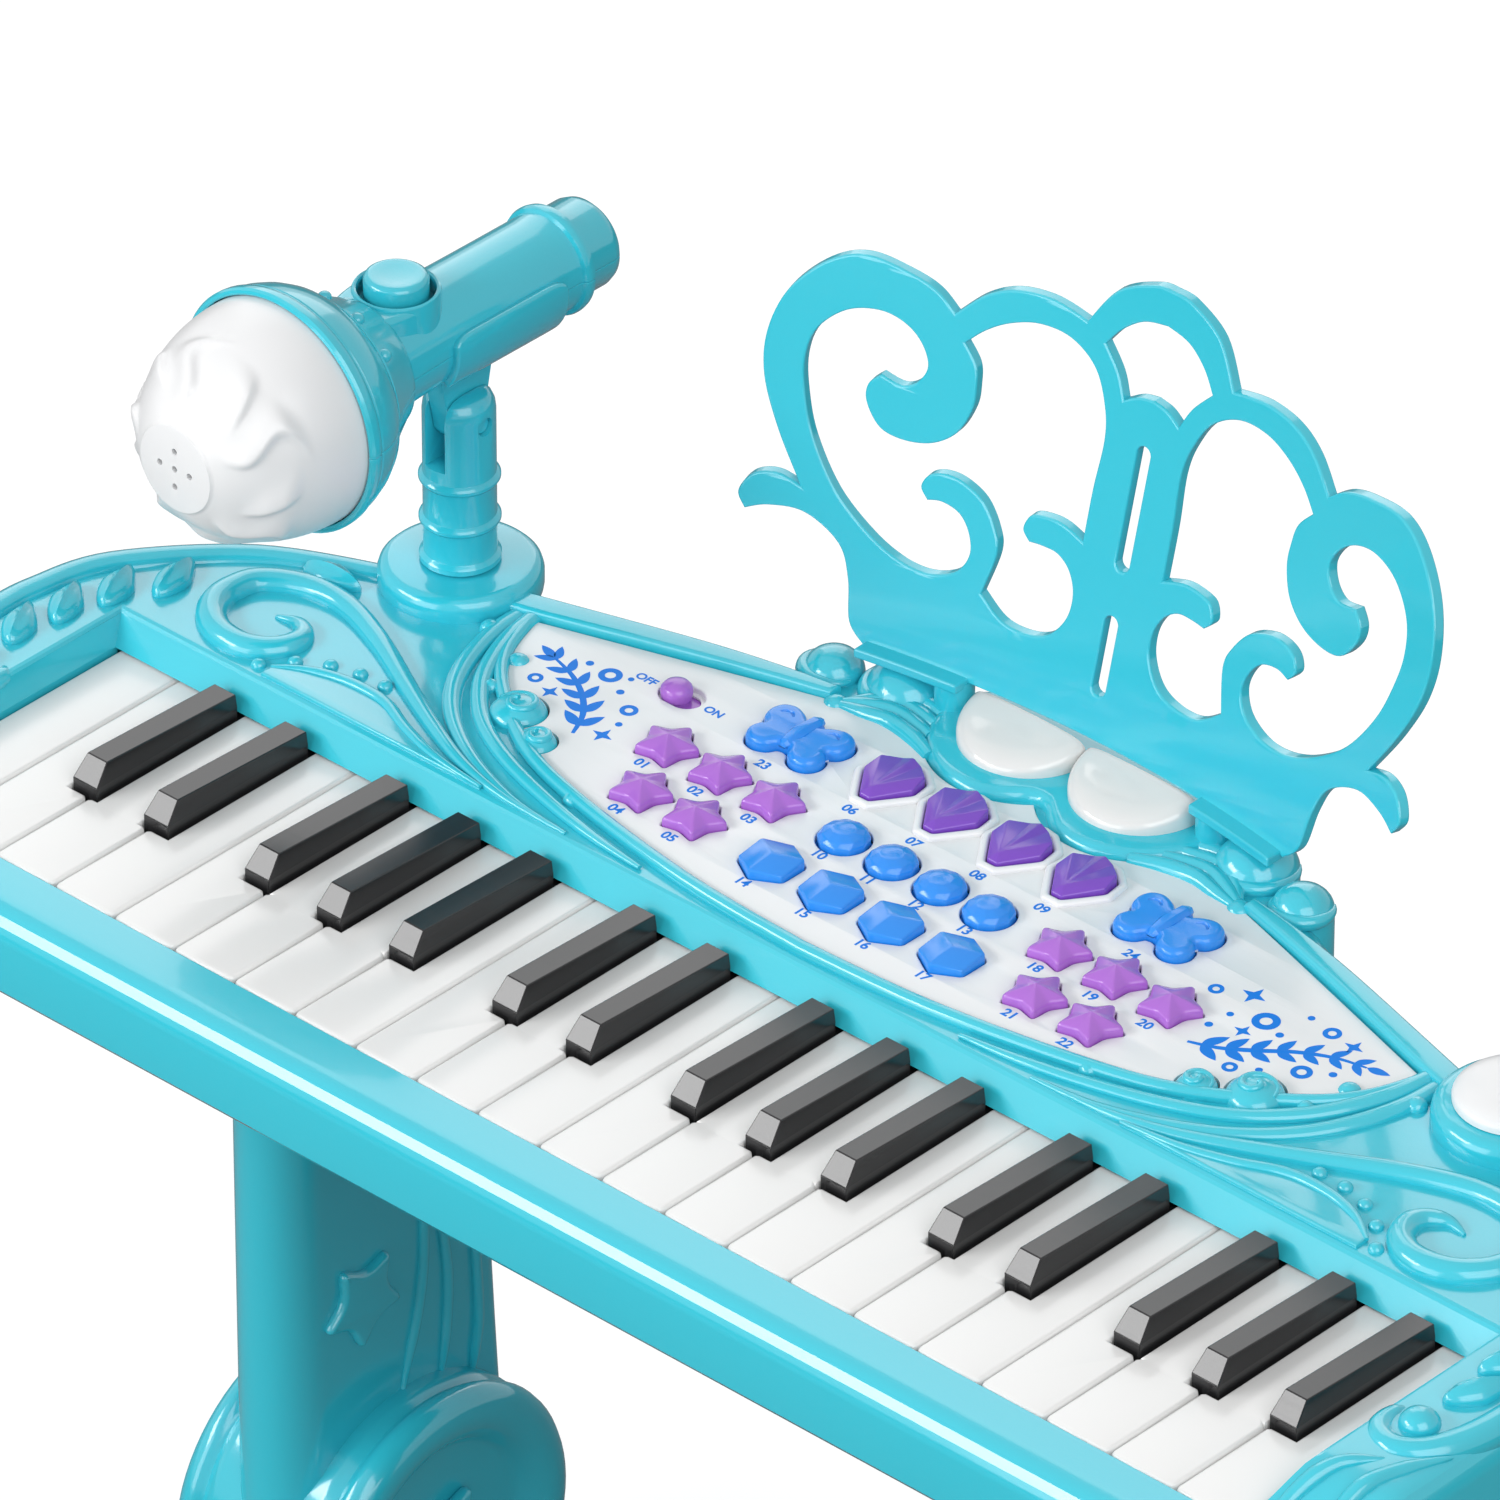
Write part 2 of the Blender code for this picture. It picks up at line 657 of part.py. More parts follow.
def ramp(y):
    """Height of the case top near the front: a rounded rail, then a rise to the field."""
    if y < 0:
        edge = max(0.0, -y - (RAIL_DEPTH - CASE_ROUND - 3 * MM)) / (CASE_ROUND + 3 * MM)
        return -CASE_ROUND * (1 - math.sqrt(max(0.0, 1 - edge * edge)))
    share = min(1.0, y / RAMP_LENGTH)
    return (FIELD_TOP + 1 * MM) * share * share * (3 - 2 * share)


def ramp_cutter():
    """Everything above the front rail and above the rise at the ends."""
    stops = [-RAIL_DEPTH + move for move in (0.0, 0.4 * MM, 2 * MM, CASE_ROUND, CASE_ROUND + 3 * MM)]
    stops.append(0.0)
    stops += [RAMP_LENGTH * step / 6 for step in range(1, 7)]
    top = FIELD_TOP + 40 * MM
    profile = [(-RAIL_DEPTH - 5 * MM, ramp(-RAIL_DEPTH)), *((y, ramp(y)) for y in stops)]
    profile += [(RAMP_LENGTH, top), (-RAIL_DEPTH - 5 * MM, top)]
    return place("rail_shape", across_x(profile, -CASE_END - 20 * MM, CASE_END + 20 * MM))


def arc_steps(radius, steps):
    """Inset and drop of a quarter round, from its outer to its upper end."""
    angles = [math.pi / 2 * step / steps for step in range(steps + 1)]
    return [(radius * (1 - math.cos(a)), radius * (1 - math.sin(a))) for a in angles]


def upper_case():
    """The moulded top: shell, key well, panel seat, turrets, lamp cloud and scroll relief."""
    outline = case_outline()
    rings = [level(outline, -CASE_DROP)]
    rings += [level(inset(outline, side), FIELD_TOP - drop) for side, drop in arc_steps(CASE_ROUND, 3)]
    case = place("upper_case", loft(rings), "teal")
    combine(case, [ramp_cutter()], "DIFFERENCE")

    inner = inset(outline, CASE_WALL)
    cavity = place("case_cavity", prism(inner, -CASE_DROP - 5 * MM, FIELD_TOP - CASE_WALL))
    skirt = CASE_WALL + WELL_LEAN
    walls = [
        block((-CASE_END, -RAIL_DEPTH, -CASE_ROUND - CASE_WALL), (CASE_END, RAMP_LENGTH, FIELD_TOP)),
        block((-WELL_HALF - skirt, WELL_BACK - 1 * MM, WELL_WALL_UNDER),
              (WELL_HALF + skirt, WELL_BACK + skirt, FIELD_TOP)),
        block((-WELL_HALF - 1 * MM, -WELL_GAP - CASE_WALL, -CASE_DROP + 6 * MM),
              (WELL_HALF + 1 * MM, WELL_GAP, FIELD_TOP)),
    ]
    for side in (-1, 1):
        ends = sorted((side * (WELL_HALF + 0.2 * MM), side * (WELL_HALF + CASE_WALL + WELL_SIDE_LEAN)))
        walls.append(block((ends[0], -WELL_GAP - CASE_WALL, -WHITE_HEIGHT),
                           (ends[1], WELL_BACK + 1 * MM, FIELD_TOP)))
    combine(cavity, [place(f"well_wall_{i}", wall) for i, wall in enumerate(walls)], "DIFFERENCE")
    combine(case, [cavity], "DIFFERENCE")

    well = []
    for lean, z in ((0.0, -CASE_DROP - 5 * MM), (0.0, 0.0), (1.0, FIELD_TOP), (1.0, FIELD_TOP + 9 * MM)):
        half = WELL_HALF + lean * WELL_SIDE_LEAN
        back = WELL_BACK + lean * WELL_LEAN
        well.append([(-half, -WELL_GAP, z), (half, -WELL_GAP, z), (half, back, z), (-half, back, z)])
    seat = inset(panel_outline(), PANEL_LEDGE)
    opening = place("panel_opening", prism(seat, -CASE_DROP - 5 * MM, FIELD_TOP + 5 * MM))
    recess = prism(inset(panel_outline(), -SEAT_GAP), FIELD_TOP - PANEL_SINK, FIELD_TOP + 5 * MM)
    combine(case, [place("key_well", loft(well)), opening, place("panel_seat", recess)], "DIFFERENCE")
    combine(case, case_relief(), "UNION")
    spigot = cylinder(MIC_SPIGOT_RADIUS + SEAT_GAP, TURRET_TOP - MIC_SPIGOT_LENGTH - SEAT_GAP,
                      TURRET_TOP + 5 * MM, 16)
    bores = [place("mic_socket", spigot, origin=(-TURRET_X, TURRET_Y, 0.0))]
    for side in (-1, 1):
        floor = CLOUD_HEIGHT - POST_PLUG - SEAT_GAP
        plug = cylinder(POST_RADIUS + SEAT_GAP, floor, CLOUD_HEIGHT + 5 * MM, 12)
        bores.append(place(f"rest_socket_{side}", plug, origin=(side * POST_X, POST_Y, 0.0)))
    combine(case, bores, "DIFFERENCE")
    return case


def case_relief():
    """Raised forms of the case top, each rooted a little below the field."""
    forms = []
    for side in (-1, 1):
        forms += turret(side)
        forms += scrolls(side)
    root = FIELD_TOP - 2 * MM
    cloud = LAMP_RADIUS + CLOUD_MARGIN
    lobes = []
    for side in (-1, 1):
        lobe = [(side * LAMP_X + x, LAMP_Y + y) for x, y in regular_outline(cloud, 20, 0.0)]
        rings = [level(lobe, root)]
        rings += [level(inset(lobe, move), CLOUD_HEIGHT - drop) for move, drop in arc_steps(1.6 * MM, 1)]
        lobes.append(place(f"cloud_{side}", loft(rings)))
    reach = POST_X + POST_RADIUS + 3.7 * MM
    front = POST_Y - POST_RADIUS - 6.8 * MM
    base = [(0.0, front + 2 * MM), (28 * MM, front), (reach, front + 4 * MM), (reach, front + 14 * MM),
            (30 * MM, CASE_BACK - 6 * MM), (0.0, CASE_BACK - 5 * MM)]
    base = mirrored(smooth(base, 2))
    top = CLOUD_HEIGHT - 0.6 * MM
    rings = [level(base, root)]
    rings += [level(inset(base, move), top - drop) for move, drop in arc_steps(1.6 * MM, 1)]
    lobes.append(place("rest_base", loft(rings)))
    forms += lobes
    return forms


def turret(side):
    """A drum on a slimmer column at a back corner."""
    disc = TURRET_TOP - TURRET_DISC
    soft = 1.8 * MM
    profile = [
        (0.0, -CASE_DROP), (TURRET_COLUMN, -CASE_DROP), (TURRET_COLUMN, disc - 1.5 * MM),
        (TURRET_RADIUS, disc), (TURRET_RADIUS, TURRET_TOP - soft),
        (TURRET_RADIUS - soft, TURRET_TOP), (0.0, TURRET_TOP),
    ]
    return [place(f"turret_{side}", turned(profile, 20), origin=(side * TURRET_X, TURRET_Y, 0.0))]


def scrolls(side):
    """The rim bead, the volute, the panel frame and the round bosses on one end of the case."""
    def swept(name, plan, radius, z, taper=1.0):
        path = [(side * x, y, z) for x, y in plan]
        return place(f"{name}_{side}", bead(path, radius, taper))

    rim = [
        (CASE_END - 5.2 * MM, 26 * MM), (CASE_END - RIM_RADIUS, 45 * MM), (CASE_END - 4.2 * MM, 66 * MM),
        (CASE_END - 10 * MM, 86 * MM), (CASE_END - 30 * MM, 108.5 * MM), (TURRET_X + 12 * MM, 122 * MM),
    ]
    volute = in_mm((159.5, 95), (153.5, 94), (151.7, 87.2), (158.8, 82.4), (169.4, 82.8), (177, 92),
                   (174.8, 101.3), (166, 106.5), (154.7, 106.7), (140.5, 101.5), (125, 93.5),
                   (108.6, 84.7), (100.7, 80))
    edge = inset(panel_outline(), -FRAME_RADIUS - SEAT_GAP)
    tip = edge.index(max(edge))
    forms = [
        swept("rim_bead", smooth(rim, 2), RIM_RADIUS, FIELD_TOP - 1.6 * MM),
        swept("volute", smooth(volute, 2), SCROLL_RADIUS, FIELD_TOP - 0.2 * MM, 0.7),
        swept("panel_frame", edge[:tip + 1], FRAME_RADIUS, FIELD_TOP + 0.3 * MM),
        swept("back_rail", edge[tip:tip + 4], FRAME_RADIUS, FIELD_TOP + 0.3 * MM),
    ]
    shells = [(48.2 * MM, CASE_BACK - 13 * MM, 9 * MM), (64.6 * MM, CASE_BACK - 17.5 * MM, 6.4 * MM)]
    beads = [*PANEL_KNOBS, *shells]
    for i, (x, y, radius) in enumerate(beads):
        height = min(radius, 2.4 * MM) if radius < 6 * MM else radius * 0.8
        forms.append(place(f"bead_{side}_{i}", ball((side * x, y, FIELD_TOP), radius, height)))
    return forms


upper_case()

# Control panel and the buttons that stand in it

def panel_holes():
    """Outlines of every hole in the panel, each a running clearance wider than its button."""
    holes = []
    scale = 1 + BUTTON_GAP / STAR_WAIST
    for side in (-1, 1):
        star = star_outline(STAR_RADIUS * scale, STAR_WAIST * scale)
        holes += [moved(star, x, y) for x, y in star_places(side)]
        holes.append(moved(butterfly_outline(BUTTON_GAP), side * BUTTERFLY_X, BUTTERFLY_Y))
    disc = regular_outline(ROUND_RADIUS + BUTTON_GAP, 10, 0.0)
    holes += [moved(disc, x, y) for x, y in row_places(ROUND_SPACING, ROUND_ROW)]
    gem = regular_outline(GEM_RADIUS + BUTTON_GAP, 6, math.pi / 6)
    holes += [moved(gem, x, y) for x, y in row_places(GEM_SPACING, GEM_ROW)]
    holes += [moved(shell_outline(BUTTON_GAP), x, y) for x, y in row_places(SHELL_SPACING, SHELL_ROW)]
    holes.append(moved(switch_slot(BUTTON_GAP), SWITCH_X, SWITCH_Y))
    return holes


def control_panel():
    """The white lens-shaped plate, notched round the knobs of its frame."""
    panel = place("control_panel", prism(panel_outline(), PANEL_UNDER, PANEL_TOP, panel_holes()), "white")
    notches = []
    for side in (-1, 1):
        for i, (x, y, radius) in enumerate(PANEL_KNOBS):
            outline = moved(regular_outline(radius + BUTTON_GAP, 10, 0.0), side * x, y)
            notch = prism(outline, PANEL_UNDER - 5 * MM, PANEL_TOP + 5 * MM)
            notches.append(place(f"knob_notch_{side}_{i}", notch))
    combine(panel, notches, "DIFFERENCE")


def cap(outline, shoulder, crown, crown_scale, peak=None):
    """A button cap from its carrier up to a crowned top, with an apex where it has a peak."""
    low = CARRIER_TOP - CARRIER_THICKNESS / 2
    x = sum(point[0] for point in outline) / len(outline)
    y = sum(point[1] for point in outline) / len(outline)
    rings = [level(outline, low), level(outline, PANEL_TOP + shoulder)]
    if peak is None:
        top = [(x + (px - x) * crown_scale, y + (py - y) * crown_scale) for px, py in outline]
        rings.append(level(top, PANEL_TOP + crown))
        return loft(rings)
    bm = loft(rings, capped=False)
    bm.verts.ensure_lookup_table()
    count = len(outline)
    bm.faces.new(bm.verts[:count])
    apex = bm.verts.new((x, y, PANEL_TOP + peak))
    rim = bm.verts[:][count:2 * count]
    for i in range(count):
        bm.faces.new((rim[i - 1], rim[i], apex))
    return bm


def gem_cap(x, y):
    """A hexagonal gem whose three kite facets meet at its apex."""
    outline = moved(regular_outline(GEM_RADIUS, 6, math.pi / 6), x, y)
    bm = cap(outline, GEM_HEIGHT * 0.4, 0.0, 1.0, peak=GEM_HEIGHT)
    bm.verts.ensure_lookup_table()
    for i in range(6, 12, 2):
        bm.verts[i].co.z = PANEL_TOP + GEM_HEIGHT * 0.7
    return bm


def button_set(name, finish, caps, carrier):
    """Caps of one colour moulded on their carrier, which lies under the panel."""
    bar = prism(carrier, CARRIER_TOP - CARRIER_THICKNESS, CARRIER_TOP)
    made = place(name, bar, finish)
    combine(made, [place(f"{name}_cap_{i}", shape) for i, shape in enumerate(caps)], "UNION")


def bar_outline(places, reach):
    """A straight carrier under a row of buttons."""
    xs = [x for x, y in places]
    y = places[0][1]
    return [(min(xs) - reach, y - CARRIER_SIDE), (max(xs) + reach, y - CARRIER_SIDE),
            (max(xs) + reach, y + CARRIER_SIDE), (min(xs) - reach, y + CARRIER_SIDE)]


def buttons():
    """Every button of the panel."""
    for side, word in ((-1, "left"), (1, "right")):
        places = star_places(side)
        star = star_outline(STAR_RADIUS, STAR_WAIST)
        caps = [cap(moved(star, x, y), 0.9 * MM, 0.0, 1.0, peak=STAR_HEIGHT) for x, y in places]
        xs = [x for x, y in places]
        carrier = [(places[3][0] - CARRIER_SIDE, STAR_FRONT_ROW - CARRIER_SIDE),
                   (places[4][0] + CARRIER_SIDE, STAR_FRONT_ROW - CARRIER_SIDE),
                   (max(xs) + CARRIER_SIDE, STAR_BACK_ROW + CARRIER_SIDE),
                   (min(xs) - CARRIER_SIDE, STAR_BACK_ROW + CARRIER_SIDE)]
        button_set(f"star_buttons_{word}", "lilac", caps, carrier)
        wing = moved(butterfly_outline(), side * BUTTERFLY_X, BUTTERFLY_Y)
        flange = moved(regular_outline(BUTTERFLY_SPAN * 1.25, 16, 0.0), side * BUTTERFLY_X, BUTTERFLY_Y)
        button_set(f"butterfly_button_{word}", "blue", [cap(wing, 1.6 * MM, BUTTERFLY_HEIGHT, 0.8)], flange)
    places = row_places(ROUND_SPACING, ROUND_ROW)
    disc = regular_outline(ROUND_RADIUS, 10, 0.0)
    caps = [cap(moved(disc, x, y), 1.4 * MM, ROUND_HEIGHT, 0.6) for x, y in places]
    button_set("round_buttons", "blue", caps, bar_outline(places, ROUND_RADIUS + BUTTON_GAP))
    places = row_places(GEM_SPACING, GEM_ROW)
    button_set("gem_buttons", "blue", [gem_cap(x, y) for x, y in places],
               bar_outline(places, GEM_RADIUS + BUTTON_GAP))
    places = row_places(SHELL_SPACING, SHELL_ROW)
    caps = [cap(moved(shell_outline(), x, y), 1.9 * MM, SHELL_HEIGHT, 0.78) for x, y in places]
    button_set("shell_buttons", "violet", caps, bar_outline(places, SHELL_WIDTH / 2))


def power_switch():
    """A slide switch: a round nub on a flat slider under the panel."""
    low = CARRIER_TOP - CARRIER_THICKNESS / 2
    high = PANEL_TOP + SWITCH_HEIGHT
    r = SWITCH_RADIUS
    nub = turned([(0.0, low), (r, low), (r, PANEL_TOP + 0.8 * MM), (r * 0.75, high - SWITCH_HEIGHT / 4),
                  (r * 0.35, high), (0.0, high)], 14)
    reach = SWITCH_RADIUS + SWITCH_TRAVEL
    slider = block((-reach, -CARRIER_SIDE, CARRIER_TOP - CARRIER_THICKNESS),
                   (reach, CARRIER_SIDE, CARRIER_TOP))
    made = place("power_switch", slider, "lilac", (SWITCH_X, SWITCH_Y, 0.0))
    combine(made, [place("switch_nub", nub, origin=(SWITCH_X, SWITCH_Y, 0.0))], "UNION")


control_panel()
buttons()
power_switch()

# Lamps

def lamp_lens():
    """Two half-round lamp covers in one clear moulding that rises towards the music rest."""
    base = CLOUD_HEIGHT + SEAT_GAP
    back = LAMP_Y
    halves = []
    for side in (-1, 1):
        rings = []
        for scale, lift in ((1.0, 0.0), (1.0, 0.55), (0.95, 0.85), (0.86, 1.0)):
            ring = []
            for i in range(13):
                angle = math.pi + math.pi * i / 12
                x = side * LAMP_X + LAMP_RADIUS * scale * math.cos(angle)
                y = back + LAMP_RADIUS * scale * math.sin(angle)
                rise = LAMP_RISE * (1 - (back - y) / LAMP_RADIUS) * (1.0 if lift else 0.0)
                ring.append((x, y, base + LAMP_FRONT_HEIGHT * lift + rise))
            rings.append(ring)
        halves.append(loft(rings))
    lens = place("lamp_lens", halves[0], "lamp")
    combine(lens, [place("lamp_half", halves[1])], "UNION")


def light_dome():
    """The low round lamp cover on the right turret."""
    base = TURRET_TOP + SEAT_GAP
    profile = [(0.0, base), (LIGHT_RADIUS, base), (LIGHT_RADIUS, base + LIGHT_HEIGHT * 0.3)]
    for step in range(1, 5):
        angle = math.pi / 2 * step / 5
        rise = LIGHT_HEIGHT * (0.3 + 0.7 * math.sin(angle))
        profile.append((LIGHT_RADIUS * math.cos(angle), base + rise))
    profile.append((0.0, base + LIGHT_HEIGHT))
    place("light_dome", turned(profile, 20), "white", (TURRET_X, TURRET_Y, 0.0))


lamp_lens()
light_dome()

# Music rest

def rest_half():
    """Right half of the rest's outer edge, from the middle of the foot to the middle of the top."""
    foot = in_mm((0, 0), (40, 0), (58, 0))
    flank = curve_mm((58, 0), (62, 4), (64, 13), (67.5, 20), (76, 24.5), (84, 24), (89, 22))
    tip = [*in_mm((89, 22)), (REST_HALF_WIDTH, 25.5 * MM), *in_mm((88.5, 30), (83.5, 31.5), (78, 30))]
    lobe = [*in_mm((78, 30), (85, 41), (90, 52)), (REST_HALF_WIDTH, 62 * MM),
            *in_mm((88, 72), (81, 80), (73, 83.5), (63, 82.5), (56, 80.5), (51, 77))]
    arch = curve_mm((51, 77), (45, 83), (38, 86.5), (29, 87.5), (20, 86))
    crown = [*in_mm((20, 86), (14, 95)), (5 * MM, REST_HEIGHT - 0.5 * MM), (0.0, REST_HEIGHT)]
    return chain(foot, flank, smooth(tip, 2), smooth(lobe, 2), arch, smooth(crown, 2))


def rest_window():
    """The open scroll-work of one side, with its curl and two hooks."""
    ring = curve_mm((65, 59), (60, 58), (56.5, 60), (55, 64), (57.5, 68.5), (62, 71.5), (68, 72.5),
                    (75, 70.5), (80.5, 65), (82, 58), (80.5, 50), (77, 41), (70, 31), (61, 24), (53, 20.5),
                    (46, 20), (40, 22.5), (37.5, 27), (38.5, 31.5), (41.5, 35), (46, 36.2), (49.5, 35.5))
    outer_hook = curve_mm((49.5, 35.5), (51.5, 38), (50, 41), (46.5, 42.3), (42, 42), (36.5, 39.5),
                          (32.5, 34.5), (31, 29.5), (33, 20))
    pocket = curve_mm((33, 20), (27, 16), (20.5, 15.5), (15, 17.5), (11.5, 22.5), (11, 28), (13, 32.5),
                      (16.5, 35), (20.5, 35.3), (24, 35))
    inner_hook = curve_mm((24, 35), (26, 37.2), (25, 40.3), (22.5, 41.5), (17, 41.8), (11, 40))
    bar = curve_mm((11, 40), (11, 52), (10.5, 63), (12, 70), (16, 77), (23, 81), (31, 81.3), (38, 79),
                   (43.5, 75.5), (47.5, 71.5))
    curl = curve_mm((47.5, 71.5), (44, 67.5), (43, 63), (43, 58), (45.5, 52), (50.5, 48), (57, 46.5),
                    (63, 47.5), (67, 52), (67.5, 56), (65, 59))
    return chain(ring, outer_hook, pocket, inner_hook, bar, curl)[:-1]


def rest_top_window():
    """The opening under the middle arch, with two shoulders and a small bump at its foot."""
    half = chain(curve_mm((0, 75.8), (4, 75), (7.5, 73)), curve_mm((7.5, 73), (10, 78), (14.5, 83)),
                 curve_mm((14.5, 83), (11, 87.5), (6, 91), (0, 92.3)))
    return mirrored(half)


def rest_slot(low, high):
    """A slot with round ends on the middle line."""
    radius = REST_SLOT / 2
    outline = []
    for centre, start in ((high - radius, 0.0), (low + radius, math.pi)):
        for i in range(5):
            angle = start + math.pi * i / 4
            outline.append((radius * math.cos(angle), centre + radius * math.sin(angle)))
    return outline


def rest_point(x, up, depth):
    """A point of the rest: drawn flat, bent round the player and leaned back."""
    turn = math.asin(x / REST_BEND_RADIUS)
    reach = REST_BEND_RADIUS + depth
    y = REST_BASE_Y - REST_BEND_RADIUS + reach * math.cos(turn) + up * math.sin(REST_LEAN)
    return (reach * math.sin(turn), y, REST_BASE_Z + up * math.cos(REST_LEAN))


def music_rest():
    """A thin scroll-work plate with a ledge at each side of its foot, on two plug-in posts."""
    right = rest_window()
    left = [(-x, y) for x, y in reversed(right)]
    slots = [rest_slot(9.5 * MM, 27.5 * MM), rest_slot(37.5 * MM, 65.5 * MM)]
    windows = [right, left, rest_top_window(), *slots]
    bm = prism(mirrored(rest_half()), -REST_THICKNESS / 2, REST_THICKNESS / 2, windows)
    for vert in bm.verts:
        vert.co = rest_point(vert.co.x, vert.co.y, vert.co.z)
    rest = place("music_rest", bm, "teal")
    extras = []
    for side in (-1, 1):
        ledge = []
        for share in (0.0, 0.5, 1.0):
            x = side * (LEDGE_INNER + share * (LEDGE_OUTER - LEDGE_INNER))
            x, y, z = rest_point(x, 0.0, 0.0)
            front = y - LEDGE_REACH
            root = y + REST_THICKNESS * 0.2
            half = LEDGE_THICKNESS / 2
            ledge.append([(x, front, z - half), (x, root, z - half),
                          (x, root, z + half), (x, front, z + half)])
        extras.append(place(f"ledge_{side}", loft(ledge)))
        post = cylinder(POST_RADIUS, CLOUD_HEIGHT - POST_PLUG, REST_BASE_Z, 12)
        extras.append(place(f"post_{side}", post, origin=(side * POST_X, POST_Y, 0.0)))
    combine(rest, extras, "UNION")


music_rest()

# Microphone

def mic_post():
    """The forked post that turns on the left turret."""
    r = MIC_POST_RADIUS
    half = MIC_RING_HEIGHT / 2
    foot = -MIC_SPIGOT_LENGTH
    profile = [(0.0, foot), (MIC_SPIGOT_RADIUS, foot), (MIC_SPIGOT_RADIUS, 0.0), (MIC_RING_RADIUS, 0.0),
               (MIC_RING_RADIUS, MIC_RING_HEIGHT), (r, MIC_RING_HEIGHT + half)]
    for height in MIC_RINGS:
        profile += [(r, height - half), (MIC_RING_RADIUS, height), (r, height + half)]
    top = MIC_POST_HEIGHT
    profile += [(r, top - 4 * MM), (r * 0.85, top - 1.3 * MM), (r * 0.5, top), (0.0, top)]
    at = (-TURRET_X, TURRET_Y, TURRET_TOP + SEAT_GAP)
    post = place("mic_post", turned(profile, 16), "teal", at)
    half = MIC_SLOT_WIDTH / 2
    slot = block((-half, -2 * r, top - MIC_SLOT_DEPTH), (half, 2 * r, top + 5 * MM))
    bore = moved(regular_outline(MIC_PIN_RADIUS + SEAT_GAP, 12, 0.0), 0.0, MIC_PIVOT_HEIGHT)
    hole = across_x(bore, -2 * r, 2 * r)
    combine(post, [place("post_slot", slot, origin=at), place("post_hole", hole, origin=at)], "DIFFERENCE")


def along_mic(bm):
    """Turn a solid of revolution so that its z axis runs along the microphone to its head."""
    turn = Matrix.Rotation(math.pi / 2, 4, "X")
    shift = Matrix.Translation((0.0, 0.0, MIC_AXIS_ABOVE_PIVOT))
    bmesh.ops.transform(bm, matrix=shift @ turn, verts=bm.verts)
    return bm


def mic_handle():
    """The hand microphone's shell: tail, flange, grip and flared collar, on its tilting tongue."""
    tail = -MIC_TAIL_END
    grip = tail + MIC_TAIL_LENGTH + MIC_FLANGE_LENGTH
    hr = MIC_HANDLE_RADIUS
    collar = MIC_RIM - MIC_NECK
    swell = MIC_RIM_RADIUS - hr
    profile = [(0.0, tail), (MIC_TAIL_RADIUS - 3 * MM, tail), (MIC_TAIL_RADIUS - 0.9 * MM, tail + 0.9 * MM),
               (MIC_TAIL_RADIUS, tail + 3 * MM), (MIC_TAIL_RADIUS, tail + MIC_TAIL_LENGTH),
               (MIC_FLANGE_RADIUS - 0.8 * MM, tail + MIC_TAIL_LENGTH),
               (MIC_FLANGE_RADIUS, tail + MIC_TAIL_LENGTH + 0.8 * MM), (MIC_FLANGE_RADIUS, grip - 0.8 * MM),
               (hr, grip), (hr + 0.5 * MM, MIC_NECK - 6 * MM), (hr + 1.5 * MM, MIC_NECK)]
    for share, out in ((0.25, 0.28), (0.45, 0.62), (0.7, 0.88), (1.0, 1.0)):
        profile.append((hr + swell * out, MIC_NECK + collar * share))
    cup = MIC_HEAD_RADIUS + SEAT_GAP
    profile += [(cup, MIC_RIM), (cup, MIC_RIM - 4 * MM), (0.0, MIC_RIM - 4 * MM)]
    handle = place("mic_handle", along_mic(turned(profile, 20)), "teal", MIC_PIVOT, MIC_TURN)
    well = MIC_BUTTON_RADIUS + BUTTON_GAP
    axis = MIC_AXIS_ABOVE_PIVOT
    collar_wall = cylinder(well + MIC_COLLAR_WALL, 4 * MM, MIC_COLLAR_TOP, 16)
    bmesh.ops.translate(collar_wall, verts=collar_wall.verts, vec=(0.0, -MIC_BUTTON_AT, axis))
    half = MIC_SLOT_WIDTH / 2 - SEAT_GAP
    eye = [(MIC_TONGUE_EYE * math.cos(a), MIC_TONGUE_EYE * math.sin(a))
           for a in (math.radians(200 + 28 * i) for i in range(6))]
    tongue = across_x([*eye, (8 * MM, axis - 11 * MM), (9 * MM, axis - 7 * MM), (-9 * MM, axis - 7 * MM)],
                      -half, half)
    pin_reach = MIC_POST_RADIUS - 1.2 * MM
    pin = across_x(regular_outline(MIC_PIN_RADIUS, 12, 0.0), -pin_reach, pin_reach)
    parts = [("mic_button_collar", collar_wall), ("mic_tongue", tongue), ("mic_pin", pin),
             ("mic_saddle", mic_saddle(axis))]
    combine(handle, [place(name, shape, origin=MIC_PIVOT, turn=MIC_TURN) for name, shape in parts], "UNION")
    floor = MIC_BUTTON_TOP - MIC_BUTTON_WELL - MIC_BUTTON_TRAVEL - SEAT_GAP
    pocket = cylinder(well, floor, MIC_BUTTON_TOP + 9 * MM, 16)
    bmesh.ops.translate(pocket, verts=pocket.verts, vec=(0.0, -MIC_BUTTON_AT, axis))
    combine(handle, [place("mic_button_pocket", pocket, origin=MIC_PIVOT, turn=MIC_TURN)], "DIFFERENCE")


def mic_saddle(axis):
    """The thicker cheeks round the lower half of the grip, from which the tongue hangs."""
    radius = MIC_HANDLE_RADIUS + 1.3 * MM
    section = []
    for i in range(9):
        angle = math.radians(-200 + 220 * i / 8)
        section.append((radius * math.cos(angle), axis + radius * math.sin(angle)))
    return loft([[(x, y, z) for x, z in section] for y in (22 * MM, -8 * MM)])


